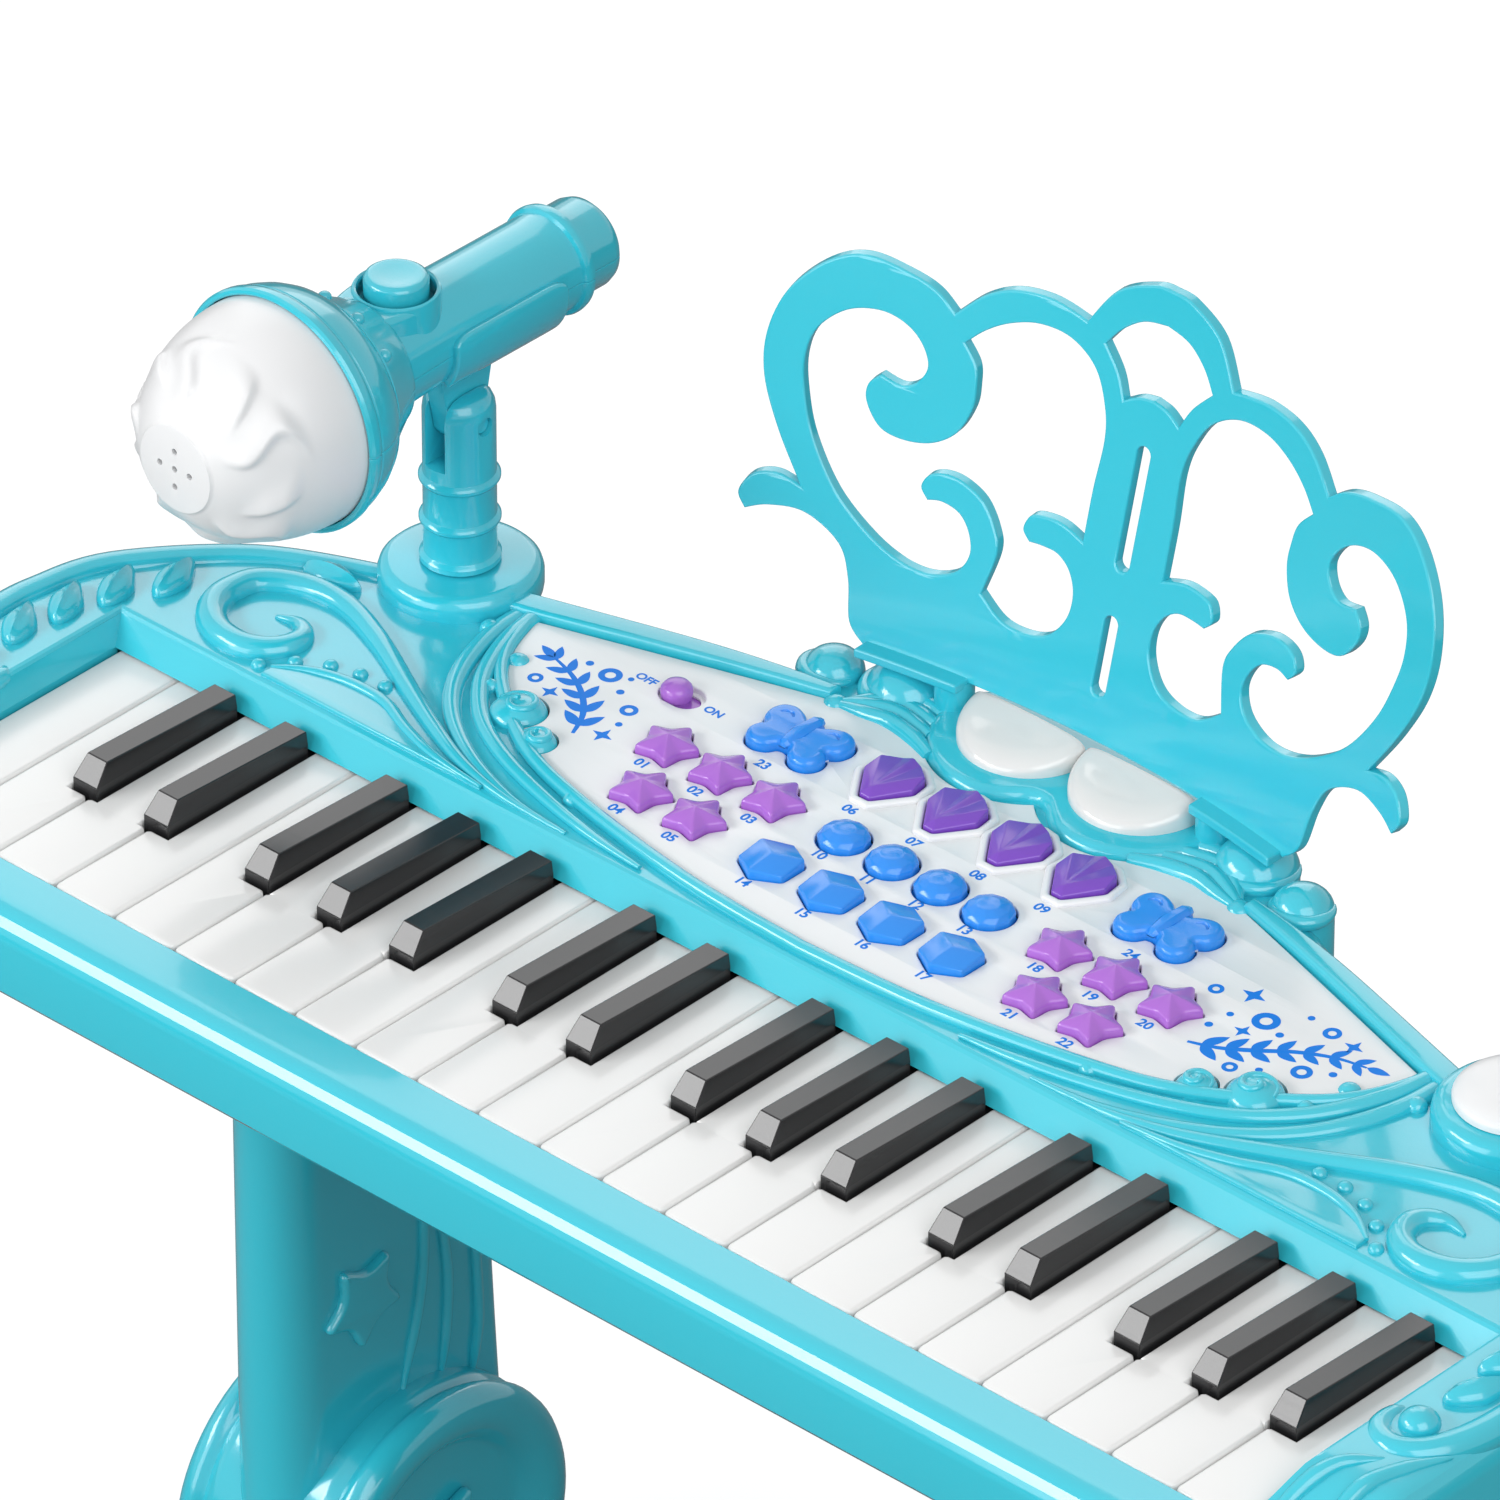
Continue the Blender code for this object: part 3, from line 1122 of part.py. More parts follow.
def mic_head():
    """The white domed head with a flat disc in front."""
    face = MIC_RIM + MIC_HEAD_LENGTH
    root = MIC_RIM - 4 * MM + SEAT_GAP
    profile = [(0.0, root), (MIC_HEAD_RADIUS, root)]
    last = math.acos(MIC_DISC_RADIUS / MIC_HEAD_RADIUS)
    dome = (MIC_HEAD_LENGTH - 0.7 * MM) / math.sin(last)
    for step in range(6):
        turn = last * step / 5
        profile.append((MIC_HEAD_RADIUS * math.cos(turn), MIC_RIM + dome * math.sin(turn)))
    profile += [(MIC_DISC_RADIUS - 0.4 * MM, face), (0.0, face)]
    place("mic_head", along_mic(turned(profile, 20)), "white", MIC_PIVOT, MIC_TURN)


def mic_button():
    """The round push button in the collar on top of the grip."""
    low = MIC_BUTTON_TOP - MIC_BUTTON_WELL
    r = MIC_BUTTON_RADIUS
    bm = turned([(0.0, low), (r, low), (r, MIC_BUTTON_TOP - 1.2 * MM), (r - 1.2 * MM, MIC_BUTTON_TOP),
                 (0.0, MIC_BUTTON_TOP)], 16)
    bmesh.ops.translate(bm, verts=bm.verts, vec=(0.0, -MIC_BUTTON_AT, MIC_AXIS_ABOVE_PIVOT))
    place("mic_button", bm, "teal", MIC_PIVOT, MIC_TURN)


mic_post()
mic_handle()
mic_head()
mic_button()

# Lower case with what it carries

def lower_case():
    """The tray under the case: a lip inside the upper case, the key rail and the leg sockets."""
    outline = case_outline()
    lip = CASE_WALL + SEAT_GAP
    steps = [(TRAY_TAPER, TRAY_BOTTOM), (TRAY_TAPER / 2, TRAY_BOTTOM + 5 * MM), (1 * MM, TRAY_TOP),
             (lip, TRAY_TOP), (lip, TRAY_TOP + TRAY_LIP), (lip + CASE_WALL, TRAY_TOP + TRAY_LIP),
             (lip + CASE_WALL, TRAY_TOP - 2 * MM), (TRAY_TAPER, TRAY_FLOOR)]
    tray = place("lower_case", loft([level(inset(outline, side), z) for side, z in steps]), "teal")
    rail_top = -WHITE_HEIGHT - SEAT_GAP
    rail = block((-KEYS_HALF, HINGE_Y - KEY_RAIL_WIDTH / 2, TRAY_FLOOR - 1 * MM),
                 (KEYS_HALF, HINGE_Y + KEY_RAIL_WIDTH / 2, rail_top))
    speaker_at = (SPEAKER_X, SPEAKER_Y, 0.0)
    root = TRAY_FLOOR - 1 * MM
    ring = cylinder(SPEAKER_RADIUS + 2 * MM, root, TRAY_FLOOR + 3 * MM, 16)
    joined = [place("key_rail", rail), place("speaker_ring", ring, origin=speaker_at)]
    post_top = BOARD_TOP - BOARD_THICKNESS - SEAT_GAP
    for x in (-BOARD_HALF + 8 * MM, BOARD_HALF - 8 * MM):
        for y in (BOARD_FRONT + 6 * MM, BOARD_BACK - 6 * MM):
            post = turned([(0.0, root), (3 * MM, root), (2.4 * MM, post_top), (0.0, post_top)], 8)
            joined.append(place(f"board_post_{len(joined) - 1}", post, origin=(x, y, 0.0)))
    cell_top = TRAY_BOTTOM + COVER_THICKNESS + BATTERY_DEPTH
    joined.append(place("battery_box", battery_block(COVER_FIT + CASE_WALL, root, cell_top + CASE_WALL)))
    combine(tray, joined, "UNION")
    seat = cylinder(SPEAKER_RADIUS + SEAT_GAP, TRAY_FLOOR, TRAY_FLOOR + 9 * MM, 16)
    cuts = [place("speaker_seat", seat, origin=speaker_at)]
    for side in (-1, 1):
        socket = moved(tenon_outline(SEAT_GAP), side * LEG_X, LEG_Y)
        socket = prism(socket, TRAY_BOTTOM - 5 * MM, TRAY_BOTTOM + TENON_HEIGHT + SEAT_GAP)
        cuts.append(place(f"leg_socket_{side}", socket))
        relief = cylinder(TURRET_COLUMN + SEAT_GAP, TRAY_TOP, 0.0, 16)
        cuts.append(place(f"turret_relief_{side}", relief, origin=(side * TURRET_X, TURRET_Y, 0.0)))
    for i in range(-GRILLE_SIDE, GRILLE_SIDE + 1):
        y = i * GRILLE_PITCH
        reach = math.sqrt(SPEAKER_RADIUS ** 2 - y * y) - 7 * MM
        slot = block((-reach, y - GRILLE_SLOT / 2, TRAY_BOTTOM - 2 * MM),
                     (reach, y + GRILLE_SLOT / 2, TRAY_FLOOR + 2 * MM))
        cuts.append(place(f"grille_{i}", slot, origin=speaker_at))
    hatch = prism(battery_outline(COVER_FIT), TRAY_BOTTOM - 2 * MM, TRAY_BOTTOM + COVER_THICKNESS + SEAT_GAP)
    cuts.append(place("battery_recess", hatch))
    cuts.append(place("battery_cell", battery_block(-COVER_LEDGE, TRAY_BOTTOM, cell_top)))
    combine(tray, cuts, "DIFFERENCE")


def tenon_outline(grow=0.0):
    """Plan of the leg's tenon and, with a clearance, of its socket."""
    half_x = LEG_WIDTH / 2 - TENON_INSET + grow
    half_y = LEG_DEPTH / 2 - TENON_INSET * 2 + grow
    return [(-half_x, -half_y), (half_x, -half_y), (half_x, half_y), (-half_x, half_y)]


def battery_block(grow, low, high):
    """A box over the plan of the battery cover, widened on every side."""
    half_x = BATTERY_LENGTH / 2 + grow
    half_y = BATTERY_WIDTH / 2 + grow
    return block((BATTERY_X - half_x, BATTERY_Y - half_y, low),
                 (BATTERY_X + half_x, BATTERY_Y + half_y, high))


def battery_outline(grow=0.0):
    """Plan of the battery cover with its finger tab."""
    x0 = BATTERY_X - BATTERY_LENGTH / 2 - grow
    x1 = BATTERY_X + BATTERY_LENGTH / 2 + grow
    y0 = BATTERY_Y - BATTERY_WIDTH / 2 - grow
    y1 = BATTERY_Y + BATTERY_WIDTH / 2 + grow
    tab = 9 * MM + grow
    return [(x0, y0), (BATTERY_X - tab, y0), (BATTERY_X - tab, y0 - 2 * MM), (BATTERY_X + tab, y0 - 2 * MM),
            (BATTERY_X + tab, y0), (x1, y0), (x1, y1), (x0, y1)]


lower_case()

place("battery_cover", prism(battery_outline(), TRAY_BOTTOM, TRAY_BOTTOM + COVER_THICKNESS), "teal")

board = block((-BOARD_HALF, BOARD_FRONT, BOARD_TOP - BOARD_THICKNESS), (BOARD_HALF, BOARD_BACK, BOARD_TOP))
place("circuit_board", board, "board")

speaker_base = TRAY_FLOOR + SEAT_GAP
speaker_profile = [
    (0.0, speaker_base + 3 * MM), (SPEAKER_RADIUS * 0.3, speaker_base + 3.5 * MM),
    (SPEAKER_RADIUS * 0.85, speaker_base + 1 * MM), (SPEAKER_RADIUS * 0.85, speaker_base),
    (SPEAKER_RADIUS, speaker_base), (SPEAKER_RADIUS, speaker_base + 2.2 * MM),
    (SPEAKER_RADIUS * 0.5, speaker_base + 7 * MM), (SPEAKER_RADIUS * 0.5, speaker_base + SPEAKER_HEIGHT),
    (0.0, speaker_base + SPEAKER_HEIGHT),
]
place("speaker", turned(speaker_profile, 16), "speaker", (SPEAKER_X, SPEAKER_Y, 0.0))

# Legs

def leg(word, side):
    """A moulded leg: a column with a tenon, a round barrel foot with star faces, and a flat sole."""
    floor = -KEY_TOP_HEIGHT
    top = TRAY_BOTTOM - SEAT_GAP
    barrel_z = floor + BARREL_HEIGHT
    rings = []
    for share in (0.0, 0.35, 0.7, 1.0):
        z = top + (barrel_z - top) * share
        half_x = LEG_WIDTH / 2
        front = -LEG_DEPTH / 2
        back = LEG_DEPTH / 2 + LEG_FLARE * share * share
        ring = [(half_x * math.cos(a), front + half_x * (1 + math.sin(a)))
                for a in (math.pi + math.pi * i / 8 for i in range(9))]
        ring += [(half_x, back - 4 * MM), (half_x - 2 * MM, back),
                 (2 * MM - half_x, back), (-half_x, back - 4 * MM)]
        rings.append([(x, y, z) for x, y in ring])
    at = (side * LEG_X, LEG_Y, 0.0)
    made = place(f"{word}_leg", loft(rings), "teal", at)
    tenon = prism(tenon_outline(), top - 2 * MM, top + SEAT_GAP + TENON_HEIGHT)
    half = BARREL_WIDTH / 2
    r = BARREL_RADIUS
    face = half - BARREL_RECESS
    disc = [(0.0, face), (r - BARREL_RIM, face), (r - BARREL_RIM, half), (r - BARREL_ROUND, half),
            (r, half - BARREL_ROUND)]
    barrel = turned([(reach, -depth) for reach, depth in disc] + disc[::-1], 20)
    quarter = Matrix.Rotation(math.pi / 2, 4, "Y")
    centre = Matrix.Translation((0.0, BARREL_BACK, barrel_z))
    bmesh.ops.transform(barrel, matrix=centre @ quarter, verts=barrel.verts)
    shares = ((0.0, -0.5), (0.36, -0.47), (0.5, -0.36), (0.5, 0.0), (0.5, 0.36), (0.36, 0.47), (0.0, 0.5))
    sole_out = mirrored(smooth([(SOLE_WIDTH * a, SOLE_LENGTH * b) for a, b in shares], 2))
    sole = loft([level(sole_out, floor), level(sole_out, floor + SOLE_HEIGHT - SOLE_EDGE),
                 level(inset(sole_out, SOLE_EDGE), floor + SOLE_HEIGHT)])
    extras = [("tenon", tenon), ("barrel", barrel), ("sole", sole)]
    bosses = (("barrel_star", face, STAR_BOSS_HEIGHT, STAR_BOSS_RADIUS, BARREL_BACK, barrel_z),
              ("leg_star", LEG_WIDTH / 2, LEG_STAR_HEIGHT, LEG_STAR_RADIUS, LEG_STAR_Y, -LEG_STAR_DROP))
    for name, start, height, radius, y, z in bosses:
        star = [Matrix.Rotation(STAR_BOSS_TURN, 2) @ Vector(p) for p in star_outline(radius, radius * 0.55)]
        for way in (-1, 1):
            depths = (start - 1 * MM, start + height)
            boss = loft([[(way * depth, y + p.x, z + p.y) for p in star] for depth in depths])
            extras.append((f"{name}_{way}", boss))
    combine(made, [place(f"{word}_{name}", shape, origin=at) for name, shape in extras], "UNION")


leg("left", -1)
leg("right", 1)
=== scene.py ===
import math

import bmesh
import bpy
from mathutils import Matrix, Vector


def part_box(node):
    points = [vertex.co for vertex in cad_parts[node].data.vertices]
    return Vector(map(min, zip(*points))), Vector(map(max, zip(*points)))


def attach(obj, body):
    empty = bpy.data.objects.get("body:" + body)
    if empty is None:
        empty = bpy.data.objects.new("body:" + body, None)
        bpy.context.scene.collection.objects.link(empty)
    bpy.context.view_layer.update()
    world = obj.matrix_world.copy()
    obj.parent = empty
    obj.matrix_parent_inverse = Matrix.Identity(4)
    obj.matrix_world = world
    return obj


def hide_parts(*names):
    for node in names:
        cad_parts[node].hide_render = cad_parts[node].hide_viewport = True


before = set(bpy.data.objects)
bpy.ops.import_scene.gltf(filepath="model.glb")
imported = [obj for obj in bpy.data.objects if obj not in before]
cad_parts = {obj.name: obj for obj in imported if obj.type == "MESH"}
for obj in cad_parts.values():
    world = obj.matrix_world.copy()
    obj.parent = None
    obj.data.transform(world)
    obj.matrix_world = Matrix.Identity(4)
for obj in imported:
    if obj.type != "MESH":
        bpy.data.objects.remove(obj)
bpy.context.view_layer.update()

# Legs: two teal mouldings, each a column with a half-round front on a barrel-shaped foot.
# A plump star stands on every flat side, three ribs stiffen the back of the column, and a tenon
# on top plugs into the tray of the case. Places are in millimetres from the key tops.
MM = 0.001
key_low, key_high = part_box("white_key_01")
DATUM = Vector((0.0, key_low.y, key_high.z))
FLOOR = -DATUM.z / MM
LEG_AT = (122.5, 72.4)
LEG_TOP = -31.6
LEG_HALF = 10.7
LEG_FRONT = 30.7
LEG_FLARE = 6.0
COLUMN_ROWS = 12
BARREL_AT = (4.2, FLOOR + 45)
STAR_RISE = 3.2
STAR_TURN = math.radians(32)
RIB_SIDE = 10.8
SOLE_WIDTH, SOLE_LENGTH, SOLE_HEIGHT = 46, 124, 13
TEAL = (0.028, 0.500, 0.625, 1.0)
TEAL_WORN = (0.040, 0.535, 0.650, 1.0)


class Feed:
    """A shader socket that sums can be written on; its node method adds any other node."""

    def __init__(self, tree, socket=None):
        self.tree = tree
        self.socket = socket

    def node(self, kind, settings, sockets, out=0):
        made = self.tree.nodes.new("ShaderNode" + kind)
        for name, value in settings.items():
            if name == "stops":
                for stop, (place, colour) in zip(made.color_ramp.elements, value):
                    stop.position = place
                    stop.color = colour
            else:
                setattr(made, name, value)
        for name, value in sockets.items():
            if isinstance(value, Feed):
                self.tree.links.new(value.socket, made.inputs[name])
            else:
                made.inputs[name].default_value = value
        return Feed(self.tree, made.outputs[out])

    def sum(self, operation, first, second):
        return self.node("Math", {"operation": operation}, {0: first, 1: second})

    def __add__(self, other):
        return self.sum("ADD", self, other)

    def __mul__(self, other):
        return self.sum("MULTIPLY", self, other)

    __radd__ = __add__
    __rmul__ = __mul__

    def into(self, shader, name):
        self.tree.links.new(self.socket, shader.inputs[name])


def moulded(name, slot, colour, worn, rough, grain=0.05, sink=0.08, coat=0.0):
    """Moulded plastic: drifting colour, gloss with rubbed patches, a fine skin and slight sinks."""
    finish = bpy.data.materials.new(name)
    finish.use_nodes = True
    finish["slot"] = slot
    tree = finish.node_tree
    shader = tree.nodes["Principled BSDF"]
    shader.inputs["IOR"].default_value = 1.5
    shader.inputs["Coat Weight"].default_value = coat
    shader.inputs["Coat Roughness"].default_value = 0.06
    feed = Feed(tree)
    at = feed.node("TexCoord", {}, {}, "Object")
    drift = feed.node("TexNoise", {}, {"Vector": at, "Scale": 11.0, "Detail": 3.0})
    skin = feed.node("TexNoise", {}, {"Vector": at, "Scale": 1400.0, "Detail": 1.0})
    streak = feed.node("Mapping", {}, {"Vector": at, "Scale": (1.0, 9.0, 5.0),
                                       "Rotation": (0.2, 0.1, 0.6)})
    rubs = feed.node("TexNoise", {}, {"Vector": streak, "Scale": 55.0, "Detail": 7.0,
                                      "Roughness": 0.72})
    scuffs = feed.node("ValToRGB", {"stops": ((0.56, (0, 0, 0, 1)), (0.74, (1, 1, 1, 1)))},
                       {0: rubs})
    share = drift * 0.65 + skin * 0.15 + scuffs * 0.12
    tint = feed.node("Mix", {"data_type": "RGBA"}, {0: share, 6: colour, 7: worn}, 2)
    tint.into(shader, "Base Color")
    (rough - 0.02 + drift * 0.04 + scuffs * 0.05).into(shader, "Roughness")
    height = skin * grain + drift * sink + scuffs * (grain * 0.2)
    bump = feed.node("Bump", {}, {"Strength": 0.35, "Distance": 0.0006, "Height": height})
    bump.into(shader, "Normal")
    return finish


def spot(x, y, z=0.0):
    """A place in millimetres: along the keys, back from their fronts and up from their tops."""
    return DATUM + MM * Vector((x, y, z))


def only(*pieces):
    """Select these pieces and nothing else."""
    bpy.ops.object.select_all(action="DESELECT")
    for piece in pieces:
        piece.select_set(True)
    bpy.context.view_layer.objects.active = pieces[0]


def weld(piece):
    """Close the seams of a piece and point its faces outwards."""
    only(piece)
    bpy.ops.object.mode_set(mode="EDIT")
    bpy.ops.mesh.select_all(action="SELECT")
    bpy.ops.mesh.remove_doubles(threshold=2e-6)
    bpy.ops.mesh.normals_make_consistent(inside=False)
    bpy.ops.object.mode_set(mode="OBJECT")
    return piece


def meshed(name, points, edges, faces):
    """A piece from its corners in millimetres."""
    mesh = bpy.data.meshes.new(name)
    mesh.from_pydata([MM * Vector(point) for point in points], edges, faces)
    piece = bpy.data.objects.new(name, mesh)
    bpy.context.scene.collection.objects.link(piece)
    return piece


def skinned(name, rings):
    """A closed skin through rings of equal length."""
    count = len(rings[0])
    points = [point for ring in rings for point in ring]
    faces = [tuple(range(count)), tuple(range(len(points) - count, len(points)))]
    for row in range(len(rings) - 1):
        for i in range(count):
            a, b = row * count + i, row * count + (i + 1) % count
            faces.append((a, b, b + count, a + count))
    return weld(meshed(name, points, [], faces))


def turned(name, profile, steps=48):
    """A round piece spun about z from (radius, height) points."""
    points = [(radius, 0.0, height) for radius, height in profile]
    piece = meshed(name, points, [(i, i + 1) for i in range(len(points) - 1)], [])
    only(piece)
    bpy.ops.object.mode_set(mode="EDIT")
    bpy.ops.mesh.select_all(action="SELECT")
    bpy.ops.mesh.spin(steps=steps, angle=2 * math.pi, center=(0, 0, 0), axis=(0, 0, 1))
    bpy.ops.object.mode_set(mode="OBJECT")
    return weld(piece)


def drawn(name, outlines, closed):
    """A curve along paths of points; the fourth number of a point is its width."""
    bpy.ops.object.select_all(action="DESELECT")
    bpy.ops.curve.primitive_nurbs_path_add()
    line = bpy.context.object
    line.name = name
    line.location = (0, 0, 0)
    line.data.splines.clear()
    for outline in outlines:
        run = line.data.splines.new("POLY")
        run.points.add(len(outline) - 1)
        run.use_cyclic_u = closed
        for knot, (x, y, z, width) in zip(run.points, outline):
            knot.co = (x * MM, y * MM, z * MM, 1.0)
            knot.radius = width
    return line


def as_mesh(line):
    """The mesh of a drawn curve, welded."""
    only(line)
    bpy.ops.object.convert(target="MESH")
    return weld(bpy.context.object)


def plate(name, outlines, low, high, edge=0.4, rounds=2):
    """A flat moulding: an outline with holes, as thick as from low to high, with rounded edges."""
    line = drawn(name, [[(x, y, 0.0, 1.0) for x, y in outline] for outline in outlines], True)
    line.data.dimensions = "2D"
    line.data.fill_mode = "BOTH"
    line.data.extrude = ((high - low) / 2 - edge) * MM
    line.data.bevel_depth = edge * MM
    line.data.bevel_resolution = rounds
    line.data.offset = -edge * MM
    piece = as_mesh(line)
    piece.data.transform(Matrix.Translation((0, 0, (low + high) / 2 * MM)))
    return piece


def tube(name, path, widths, sides=5, flat=1.0):
    """A round moulding along a path; widths are spread along it, and flat presses it lower."""
    last = len(path) - 1
    knots = []
    for i, (x, y, z) in enumerate(path):
        place = i / last * (len(widths) - 1)
        step = min(int(place), len(widths) - 2)
        width = widths[step] + (widths[step + 1] - widths[step]) * (place - step)
        knots.append((x, y, z, width))
    line = drawn(name, [knots], False)
    line.data.dimensions = "3D"
    line.data.bevel_depth = MM
    line.data.bevel_resolution = sides
    line.data.use_fill_caps = True
    piece = as_mesh(line)
    level = path[0][2] * MM
    if flat != 1.0:
        for vert in piece.data.vertices:
            vert.co.z = level + (vert.co.z - level) * flat
    return piece


def smooth(knots, steps):
    """Points of a smooth curve through open knots, both ends included."""
    ends = [knots[0], *knots, knots[-1]]
    points = []
    for a, b, c, d in zip(ends, ends[1:], ends[2:], ends[3:]):
        for step in range(steps):
            t = step / steps
            points.append(tuple(
                0.5 * (2 * q + (r - p) * t + (2 * p - 5 * q + 4 * r - s) * t * t
                       + (3 * q - p - 3 * r + s) * t ** 3)
                for p, q, r, s in zip(a, b, c, d)))
    points.append(tuple(knots[-1]))
    return points


def mirrored(half):
    """A closed outline from its right half, drawn from the front to the back of the axis."""
    return half + [(-x, y) for x, y in reversed(half) if abs(x) > 1e-6]


def eased(outline, share=0.3, steps=4):
    """The outline with every corner rounded off along a share of its two sides."""
    points = []
    for i, corner in enumerate(outline):
        here = Vector(corner)
        start = here.lerp(Vector(outline[i - 1]), share)
        end = here.lerp(Vector(outline[(i + 1) % len(outline)]), share)
        for step in range(steps + 1):
            t = step / steps
            points.append(tuple(start.lerp(here, t).lerp(here.lerp(end, t), t)))
    return points


def oblong(low, high):
    """A rectangle between two corners, anticlockwise."""
    return [(low[0], low[1]), (high[0], low[1]), (high[0], high[1]), (low[0], high[1])]


def star_plan(radius, waist, turn=0.0):
    """A five-pointed star with one point away from the player."""
    outline = []
    for i in range(10):
        angle = turn + math.pi / 2 + math.pi * i / 5
        reach = waist if i % 2 else radius
        outline.append((reach * math.cos(angle), reach * math.sin(angle)))
    return outline


def put(piece, matrix):
    """Write a move, given in metres, into the mesh of a piece."""
    piece.data.transform(matrix)
    return piece


def shifted(piece, x, y, z=0.0):
    """Move a piece by millimetres."""
    return put(piece, Matrix.Translation(MM * Vector((x, y, z))))


def joined(*pieces):
    """Join pieces into the first one."""
    only(*pieces)
    bpy.ops.object.join()
    return bpy.context.object


def soften(piece, width, segments=3, angle=30):
    """Round the sharp edges of a piece."""
    step = piece.modifiers.new("soften", "BEVEL")
    step.width = width * MM
    step.segments = segments
    step.limit_method = "ANGLE"
    step.angle_limit = math.radians(angle)
    only(piece)
    bpy.ops.object.modifier_apply(modifier=step.name)
    return piece


def copied(piece, x, y, z=0.0):
    """A copy of a piece, with its own mesh, moved by millimetres."""
    only(piece)
    bpy.ops.object.duplicate()
    return shifted(bpy.context.object, x, y, z)


def settle(piece, name, finish, body, *nodes, angle=40):
    """Bring a finished piece to the keys' datum; set its name, material, body and CAD nodes."""
    put(piece, Matrix.Translation(DATUM))
    only(piece)
    bpy.ops.object.shade_smooth_by_angle(angle=math.radians(angle))
    piece.name = name
    piece.data.name = name
    piece.data.materials.clear()
    piece.data.materials.append(finish)
    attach(piece, body)
    if nodes:
        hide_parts(*nodes)
    return piece


ON_SIDE = Matrix(((0, 0, 1, 0), (1, 0, 0, 0), (0, 1, 0, 0), (0, 0, 0, 1)))
teal = moulded("teal_moulding", "teal", TEAL, TEAL_WORN, 0.17, coat=0.5)

column_rings = []
for row in range(COLUMN_ROWS + 1):
    share = row / COLUMN_ROWS
    back = LEG_FRONT + LEG_FLARE * share * share
    ring = [(LEG_HALF * math.cos(a), LEG_HALF * (1 + math.sin(a)) - LEG_FRONT)
            for a in (math.pi + math.pi * i / 24 for i in range(25))]
    corners = [(LEG_HALF, back - 14), (LEG_HALF, back), (-LEG_HALF, back), (-LEG_HALF, back - 14)]
    ring += eased(corners, 0.28, 5)[6:18]
    height = LEG_TOP + (BARREL_AT[1] - LEG_TOP) * share
    column_rings.append([(x, y, height) for x, y in ring])
leg_parts = [skinned("column", column_rings)]
leg_parts.append(plate("tenon", [oblong((-7.7, -24.7), (7.7, 24.7))],
                       LEG_TOP - 2, LEG_TOP + 8.3, 0.5))
barrel_half = [(0.0, 18.6), (23.0, 18.6), (24.2, 19.0), (25.4, 20.2), (27.2, 22.2), (29.6, 23.7),
               (32.2, 24.2), (34.6, 23.8), (36.6, 22.5), (37.7, 20.8), (38.0, 19.2), (37.6, 18.0),
               (36.8, 17.2), (36.4, 16.4), (36.8, 15.4), (37.4, 14.2), (37.5, 13.0)]
barrel = turned("barrel", barrel_half + [(r, -h) for r, h in reversed(barrel_half)], 72)
leg_parts.append(shifted(put(barrel, ON_SIDE), 0, *BARREL_AT))
for radius, waist, depth, y, z in ((15.4, 8.4, 18.4, *BARREL_AT), (12.6, 6.8, 9.6, -9.0, -126.0)):
    star = plate("side_star", [eased(star_plan(radius, waist, STAR_TURN), 0.36, 5)],
                 depth, depth + STAR_RISE, 1.5, 5)
    other = copied(star, 0, 0)
    leg_parts.append(shifted(put(star, ON_SIDE), 0, y, z))
    leg_parts.append(shifted(put(other, Matrix.Rotation(math.pi, 4, "Z") @ ON_SIDE
                                 @ Matrix.Scale(-1, 4, (1, 0, 0))), 0, y, z))
    weld(leg_parts[-1])
rib_lines = (((9.6, -98), (10.1, -113.5), (9.8, -126.2), (7.9, -138.2), (5.2, -148), (2.0, -160.9)),
             ((13.6, -104), (15.8, -121), (17.2, -134.7), (16.2, -149.6), (13.9, -162.5)),
             ((24.0, -112), (25.6, -130), (26.4, -148), (25.2, -157), (23.6, -167)))
for line in rib_lines:
    for side in (-1, 1):
        path = smooth([(side * RIB_SIDE, y, z) for y, z in line], 6)
        leg_parts.append(tube("leg_rib", path, (1.2, 1.3, 1.4, 1.3, 0.3), 4))
sole_shares = ((0.0, -0.5), (0.36, -0.47), (0.5, -0.36), (0.5, 0.0), (0.5, 0.36), (0.36, 0.47),
               (0.0, 0.5))
sole_plan = mirrored(smooth([(SOLE_WIDTH * a, SOLE_LENGTH * b) for a, b in sole_shares], 6))
leg_parts.append(plate("sole", [sole_plan], FLOOR, FLOOR + SOLE_HEIGHT, 2.6, 4))
left_leg = shifted(joined(*leg_parts), -LEG_AT[0], LEG_AT[1])
right_leg = copied(left_leg, 2 * LEG_AT[0], 0)
settle(left_leg, "leg_moulding_left", teal, "keyboard", "left_leg")
settle(right_leg, "leg_moulding_right", teal, "keyboard", "right_leg")

# Lower case: a teal tray that closes the keyboard from below. It is screwed up into the top from
# underneath, has slots under the speaker and a recess for batteries, and holds the legs' tenons.
CASE_END = 213.0
TRAY_TOP = -18.3
TRAY_BOTTOM = -31.3
REST_Y = 166.6
CASE_BACK = REST_Y + 9.4
TURRET_AT = (145.5, 131.2)
GRILLE_AT = -34
GRILLE_RADIUS = 28
SLOT_STEP = 7


def case_plan(steps):
    """Plan of the case: straight front, full round ends, and a back that swells to the middle."""
    half = [(0.0, -16.2)]
    for step in range(3 * steps):
        angle = math.pi / 2 * (step / (3 * steps) - 1)
        half.append((187 + 26 * math.cos(angle), 9.8 + 26 * math.sin(angle)))
    back = [(CASE_END, 9.8), (CASE_END, 40), (CASE_END - 1, 63), (CASE_END - 6, 88),
            (CASE_END - 27, 112), (TURRET_AT[0], TURRET_AT[1] - 3), (121.5, 134),
            (92, CASE_BACK - 29), (68, CASE_BACK - 17), (50, CASE_BACK - 6), (28, CASE_BACK - 1),
            (0.0, CASE_BACK)]
    return mirrored(half + smooth(back, steps))


